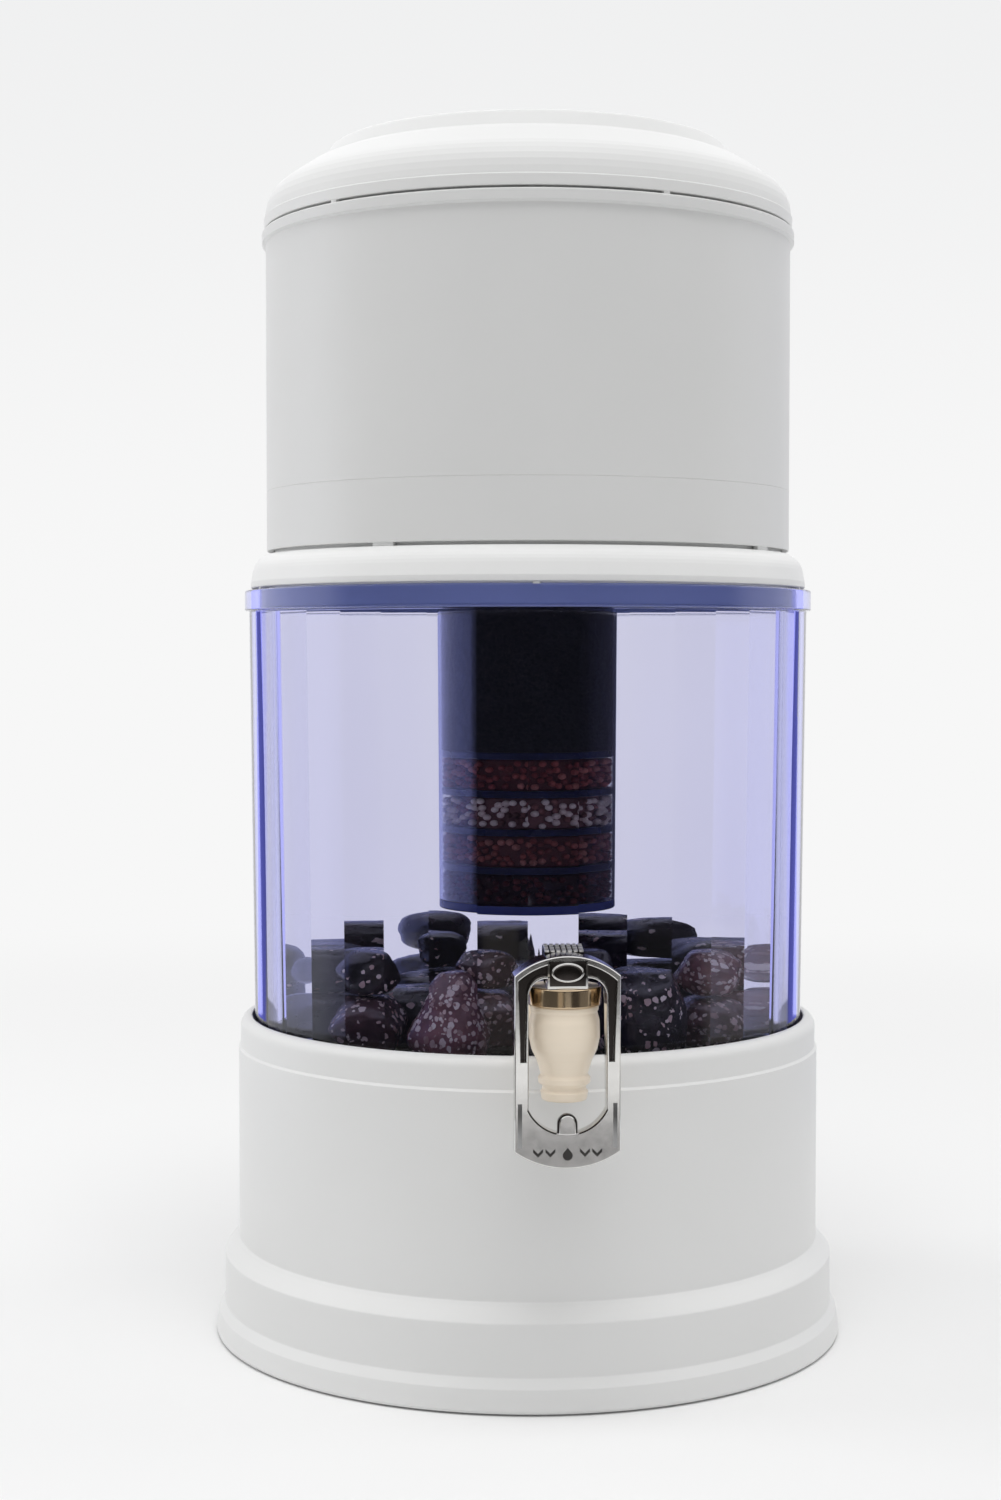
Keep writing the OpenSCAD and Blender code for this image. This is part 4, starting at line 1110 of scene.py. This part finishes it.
def front_tab(outline, y, thick, edge):
    """A flat tab that faces the front, its front edge rounded."""
    middle_x = sum(x for x, z in outline) / len(outline)
    middle_z = sum(z for x, z in outline) / len(outline)
    size = max(abs(x - middle_x) for x, z in outline)
    shape = bmesh.new()
    loops = []
    for inset, depth in ((0, thick), (0, edge * 1.4), (0, edge), (edge * 0.3, edge * 0.3), (edge, 0), (edge * 1.4, 0)):
        share = 1 - inset / size
        loops.append([
            shape.verts.new((
                (middle_x + (x - middle_x) * share) * MM, (y + depth) * MM, (middle_z + (z - middle_z) * share) * MM,
            ))
            for x, z in outline
        ])
    shape.faces.new(loops[0])
    shape.faces.new(loops[-1])
    for a, b in zip(loops, loops[1:]):
        for i in range(len(outline)):
            j = (i + 1) % len(outline)
            shape.faces.new([a[i], a[j], b[j], b[i]])
    bmesh.ops.recalc_face_normals(shape, faces=shape.faces)
    return to_tap(shape)


def thumb_pad():
    """A sloping pad behind the head, with rows of plated tiles on a dark bed."""
    tilt = Matrix.Translation((0, 0.5 * MM, 25.7 * MM)) @ Matrix.Rotation(math.radians(12), 4, "X")
    bed = slab((-7.8, 0, -1), (7.8, 9.5, 3.4), 0, 0.3)
    bed.transform(tilt)
    tiles = []
    for row in range(3):
        for column in range(7):
            x = -7.8 + 15.6 / 7 * (column + 0.5)
            y = 1.5 + 3.0 * row
            tile = slab((x - 0.82, y - 1.1, 3.0), (x + 0.82, y + 1.1, 4.2), 0, 0.35)
            tile.transform(tilt)
            tiles.append(to_tap(tile))
    return to_tap(bed), tiles


def lever():
    bed, tiles = thumb_pad()
    hub = to_tap(slab((-7.8, LEVER_FRONT, 16.6), (7.8, 2.0, 27.6), 0, 0.3))
    neck = to_tap(slab((-7.8, -6.0, 17.2), (7.8, 6.3, 25.6), 0, 0.3))
    tongue = front_tab(tongue_outline(0), LEVER_FRONT + 0.15, 3.0, 0.5)
    band_shape = lever_band()
    piece(
        "lever_frame", [band_shape, hub, neck, tongue], lever_chrome.material, "lever",
        ["tap_lever"], 30,
    )
    piece("thumb_pad_tiles", tiles, satin_chrome.material, "lever")
    hub_z = 22.9
    inlay = to_tap(slab((-6.9, LEVER_FRONT - 0.12, 17.7), (6.9, LEVER_FRONT + 0.3, 27.0), 0, 0.1))
    hollow = to_tap(lens(5.6, 3.1, LEVER_FRONT - 0.3, hub_z, 0.55, 0.5))
    # A dark rim round the tongue, set behind its face: painted shade in the gap round the tongue.
    tongue_painted_shade_rim = front_tab(tongue_outline(0.55), LEVER_FRONT + 0.9, 2.0, 0.1)
    # Grey strips down the middle of the lower rails: a painted darker reflection band on the chrome.
    strips = [
        to_tap(slab((side * 18.2 - 0.8, LEVER_FRONT - 0.03, -44), (side * 18.2 + 0.8, LEVER_FRONT + 0.3, -27), 0, 0.02))
        for side in (-1, 1)
    ]
    groove = lining(lambda x, z0, z1: z0 > -11.1, lambda width: (2.66, width - 1.26), 3.05, 3.19)
    # A dark strip on the front face along the opening's lower inner edge: a painted dark reflection on that edge.
    lower_edge_painted_reflection = lining(
        lambda x, z0, z1: z1 < -29.0 and abs(x) > 4.0, lambda width: (width - 0.62, width - 0.04), -0.03, 0.16
    )
    piece("lever_dark_linings_painted_shade", [bed, inlay, hollow, tongue_painted_shade_rim, groove, lower_edge_painted_reflection], dark_lining_painted_shade.material, "lever")
    piece("lever_side_strips_painted_reflection", strips, painted_reflection_strip_metal.material, "lever")
    piece(
        "hub_oval", [to_tap(oval_tube(5.85, 3.35, LEVER_FRONT - 0.25, hub_z, 0.42))],
        lever_chrome.material, "lever",
    )
    marks = [flat_mark(drop_outline(0, -46.9, 1.9), LEVER_FRONT - 0.06, 0.4)]
    for side in (-1, 1):
        for step in (0, 1):
            x = side * (6.6 + 4.7 * step)
            marks.append(flat_mark([
                (x - 1.9, -44.2), (x, -46.1), (x + 1.9, -44.2), (x + 1.9, -45.6), (x, -47.5), (x - 1.9, -45.6),
            ], LEVER_FRONT - 0.06, 0.4))
    piece("lever_pictogram", [to_tap(mark) for mark in marks], ink.material, "lever")


# ---------- Carried-over pieces ----------

KEPT = {
    "rubber_ring": black_rubber_painted_shadow, "ceramic_dome": ceramic, "dome_base": blue, "dome_washer": seal_rubber,
    "stem_nut": white, "cartridge_cap": blue, "cap_seal": seal_rubber,
    "tap_outer_gasket": seal_rubber,
    "tap_inner_gasket": seal_rubber, "tap_nut": white, "valve_stem": ivory, "valve_seal": seal_rubber,
    "lever_pin": wire,
}


def dress_kept():
    for name, finish in KEPT.items():
        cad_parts[name].material_slots[0].material = finish.material


# ---------- Stage, light and camera ----------


def past(nodes, links, source, count):
    """1 where a count of bounces is past a number, else 0."""
    node = nodes.new("ShaderNodeMath")
    node.operation = "GREATER_THAN"
    node.inputs[1].default_value = count
    links.new(source, node.inputs[0])
    return node.outputs[0]


def slide(nodes, links, source, low, high):
    """A smooth 0 to 1 factor between two values of a source."""
    node = nodes.new("ShaderNodeMapRange")
    node.interpolation_type = "SMOOTHSTEP"
    node.inputs["From Min"].default_value = low
    node.inputs["From Max"].default_value = high
    links.new(source, node.inputs["Value"])
    return node.outputs["Result"]


def between(nodes, links, factor, a, b):
    """Blends two colours, each a socket or three numbers."""
    node = nodes.new("ShaderNodeMix")
    node.data_type = "RGBA"
    links.new(factor, node.inputs[0])
    for value, socket in ((a, node.inputs[6]), (b, node.inputs[7])):
        if isinstance(value, bpy.types.NodeSocket):
            links.new(value, socket)
        else:
            socket.default_value = (*value, 1)
    return node.outputs[2]


def largest(nodes, links, *sources):
    """The largest of several factors."""
    result = sources[0]
    for other in sources[1:]:
        node = nodes.new("ShaderNodeMath")
        node.operation = "MAXIMUM"
        links.new(result, node.inputs[0])
        links.new(other, node.inputs[1])
        result = node.outputs[0]
    return result


def times(nodes, links, a, b):
    """The product of two factors."""
    node = nodes.new("ShaderNodeMath")
    node.operation = "MULTIPLY"
    links.new(a, node.inputs[0])
    links.new(b, node.inputs[1])
    return node.outputs[0]


EDGE_LINE = (0.36, 0.39, 1.60)


def mirror_room(nodes, links, x, y, front, behind, ray):
    """The horizon that a mirror image shows in a direction, by how many clear walls the ray went through."""
    in_wall = past(nodes, links, ray.outputs["Transmission Depth"], 0.5)
    in_tank = past(nodes, links, ray.outputs["Transmission Depth"], 2.5)
    right = slide(nodes, links, x, 0.45, 0.75)
    left = slide(nodes, links, x, -0.72, -0.92)
    facing = slide(nodes, links, y, 0.12, -0.18)
    outside = between(nodes, links, right, behind, (0.66, 0.67, 0.74))
    keen = behind
    for start, end, colour in (
        (-0.42, -0.46, EDGE_LINE), (-0.62, -0.68, behind), (0.60, 0.64, EDGE_LINE), (0.77, 0.83, (0.66, 0.67, 0.74)),
    ):
        keen = between(nodes, links, slide(nodes, links, x, start, end), keen, colour)
    outside = between(nodes, links, ray.outputs["Is Singular Ray"], outside, keen)
    outside = between(nodes, links, left, outside, (1.05, 1.08, 1.20))
    outside = between(nodes, links, facing, outside, front)
    walls = between(nodes, links, right, (0.92, 0.95, 1.10), (0.84, 0.87, 1.04))
    walls = between(nodes, links, facing, walls, (0.025, 0.03, 0.07))
    inside = between(nodes, links, slide(nodes, links, x, 0.0, 0.35), (0.50, 0.54, 0.85), (0.04, 0.04, 0.06))
    inside = between(nodes, links, left, inside, (0.50, 0.56, 1.00))
    inside = between(nodes, links, slide(nodes, links, y, 0.22, 0.0), inside, (0.015, 0.015, 0.02))
    return between(nodes, links, in_tank, between(nodes, links, in_wall, outside, walls), inside)


def stage_floor():
    shape = bmesh.new()
    bmesh.ops.create_circle(shape, cap_ends=True, segments=96, radius=9.0)
    thing = temporary("studio_floor", shape)
    thing.location.z = -0.0002
    material = bpy.data.materials.new("studio_floor")
    material.use_nodes = True
    nodes, links = material.node_tree.nodes, material.node_tree.links
    nodes.clear()
    place = nodes.new("ShaderNodeTexCoord")
    reach = nodes.new("ShaderNodeVectorMath")
    reach.operation = "LENGTH"
    links.new(place.outputs["Object"], reach.inputs[0])
    split = nodes.new("ShaderNodeSeparateXYZ")
    links.new(place.outputs["Object"], split.inputs[0])
    heading = nodes.new("ShaderNodeVectorMath")
    heading.operation = "NORMALIZE"
    links.new(place.outputs["Object"], heading.inputs[0])
    turned = nodes.new("ShaderNodeSeparateXYZ")
    links.new(heading.outputs[0], turned.inputs[0])
    ray = nodes.new("ShaderNodeLightPath")
    bounced = past(nodes, links, ray.outputs["Glossy Depth"], 0.5)
    scattered = past(nodes, links, ray.outputs["Diffuse Depth"], 0.5)
    far_seen = slide(nodes, links, reach.outputs["Value"], 0.55, 1.6)
    far_mirrored = slide(nodes, links, reach.outputs["Value"], 0.45, 0.75)
    far = nodes.new("ShaderNodeMix")
    links.new(bounced, far.inputs[0])
    links.new(far_seen, far.inputs[2])
    links.new(far_mirrored, far.inputs[3])
    share = nodes.new("ShaderNodeMath")
    share.operation = "MULTIPLY"
    unscattered = nodes.new("ShaderNodeMath")
    unscattered.operation = "SUBTRACT"
    unscattered.inputs[0].default_value = 1.0
    links.new(scattered, unscattered.inputs[1])
    links.new(far.outputs[0], share.inputs[0])
    links.new(unscattered.outputs[0], share.inputs[1])
    x, y = turned.outputs["X"], turned.outputs["Y"]
    bands = between(nodes, links, slide(nodes, links, x, -0.40, -0.35), (0.10, 0.096, 0.092), (0.55, 0.50, 0.43))
    bands = between(nodes, links, slide(nodes, links, x, -0.18, -0.11), bands, (0.030, 0.028, 0.028))
    bands = between(nodes, links, slide(nodes, links, x, 0.55, 0.65), bands, (0.20, 0.195, 0.19))
    bands = between(nodes, links, slide(nodes, links, x, 0.90, 0.95), bands, (0.80, 0.78, 0.75))
    bands = between(nodes, links, slide(nodes, links, reach.outputs["Value"], 1.50, 1.62), bands, (0.035, 0.032, 0.030))
    lane_left = slide(nodes, links, split.outputs["X"], -0.04, -0.08)
    lane_right = slide(nodes, links, split.outputs["X"], 0.20, 0.26)
    lane_end = slide(nodes, links, split.outputs["Y"], -1.12, -1.22)
    off_lane = largest(nodes, links, lane_left, lane_right, lane_end)
    nearness = slide(nodes, links, split.outputs["Y"], -0.79, -0.89)
    lane = between(nodes, links, nearness, (0.17, 0.165, 0.17), (1.35, 1.35, 1.35))
    away = slide(nodes, links, reach.outputs["Value"], 0.80, 0.92)
    front = between(nodes, links, off_lane, lane, between(nodes, links, away, (0.30, 0.30, 0.31), bands))
    mirrored = mirror_room(nodes, links, x, y, front, (0.88, 0.88, 0.90), ray)
    look = between(nodes, links, bounced, (0.93, 0.93, 0.93), mirrored)
    paper = nodes.new("ShaderNodeBsdfDiffuse")
    links.new(between(nodes, links, scattered, (0.90, 0.90, 0.90), (0.83, 0.83, 0.83)), paper.inputs["Color"])
    glow = nodes.new("ShaderNodeEmission")
    links.new(look, glow.inputs["Color"])
    both = nodes.new("ShaderNodeMixShader")
    result = nodes.new("ShaderNodeOutputMaterial")
    links.new(share.outputs[0], both.inputs["Fac"])
    links.new(paper.outputs[0], both.inputs[1])
    links.new(glow.outputs[0], both.inputs[2])
    links.new(both.outputs[0], result.inputs["Surface"])
    thing.data.materials.append(material)


def studio_world():
    """Pale walls for the eye, a soft dome for light, and a room that is dark in front for mirror images."""
    world = bpy.data.worlds.new("studio")
    bpy.context.scene.world = world
    world.use_nodes = True
    nodes, links = world.node_tree.nodes, world.node_tree.links
    nodes.clear()
    way = nodes.new("ShaderNodeTexCoord")
    split = nodes.new("ShaderNodeSeparateXYZ")
    links.new(way.outputs["Generated"], split.inputs[0])
    x, y, z = (split.outputs[name] for name in "XYZ")
    wall = between(nodes, links, slide(nodes, links, z, 0.0, 0.3), (0.93, 0.93, 0.93), (0.87, 0.873, 0.876))
    dome = nodes.new("ShaderNodeValToRGB")
    dome.color_ramp.elements[0].color = (0.05, 0.051, 0.053, 1)
    dome.color_ramp.elements[1].color = (0.60, 0.60, 0.60, 1)
    half_way = dome.color_ramp.elements.new(0.5)
    half_way.color = (0.60, 0.60, 0.60, 1)
    links.new(z, dome.inputs["Fac"])
    ray = nodes.new("ShaderNodeLightPath")
    bounced = past(nodes, links, ray.outputs["Glossy Depth"], 0.5)
    scattered = past(nodes, links, ray.outputs["Diffuse Depth"], 0.5)
    in_wall = past(nodes, links, ray.outputs["Transmission Depth"], 0.5)
    mirrored = mirror_room(nodes, links, x, y, (0.035, 0.032, 0.030), (0.88, 0.88, 0.90), ray)
    open_high = slide(nodes, links, z, 0.12, 0.45)
    wall_high = slide(nodes, links, z, 0.35, 0.75)
    high = nodes.new("ShaderNodeMix")
    links.new(in_wall, high.inputs[0])
    links.new(open_high, high.inputs[2])
    links.new(wall_high, high.inputs[3])
    mirrored = between(nodes, links, high.outputs[0], mirrored, (1.15, 1.15, 1.17))
    seen = between(nodes, links, bounced, wall, mirrored)
    light = between(nodes, links, scattered, seen, dome.outputs["Color"])
    background = nodes.new("ShaderNodeBackground")
    links.new(light, background.inputs["Color"])
    result = nodes.new("ShaderNodeOutputWorld")
    links.new(background.outputs[0], result.inputs["Surface"])


def softbox(name, place, target, width, height, power, colour=(1.0, 1.0, 1.0)):
    data = bpy.data.lights.new(name, "AREA")
    data.shape = "RECTANGLE"
    data.size = width
    data.size_y = height
    data.energy = power
    data.color = colour
    lamp = bpy.data.objects.new(name, data)
    lamp.location = place
    lamp.rotation_euler = (Vector(target) - Vector(place)).to_track_quat("-Z", "Y").to_euler()
    lamp.visible_transmission = False
    lamp.visible_glossy = False
    bpy.context.scene.collection.objects.link(lamp)


def light_and_camera():
    studio_world()
    stage_floor()
    softbox("top_box", (0.0, -0.3, 4.0), (0, 0, 0.2), 3.8, 3.8, 30)
    softbox("front_box", (0.0, -1.4, 4.1), (0, 0, 0.25), 2.2, 2.2, 52)
    softbox("left_box", (-1.7, 0.35, 0.8), (0, 0, 0.3), 0.7, 1.5, 6.6)
    softbox("right_box", (1.9, 0.35, 0.8), (0, 0, 0.3), 0.7, 1.5, 3.8)
    data = bpy.data.cameras.new("view")
    data.lens = 56.844
    data.sensor_width = 36
    camera = bpy.data.objects.new("view", data)
    camera.location = (-0.0947, -1.0615, 0.3014)
    camera.rotation_euler = (math.radians(87.69), 0, math.radians(-4.446))
    bpy.context.scene.collection.objects.link(camera)
    bpy.context.scene.camera = camera
    bpy.context.scene.view_settings.view_transform = "Standard"


base()
clear_tank()
stones()
collar()
upper()
lid()
cartridge()
tap()
spring()
lever()
dress_kept()
light_and_camera()
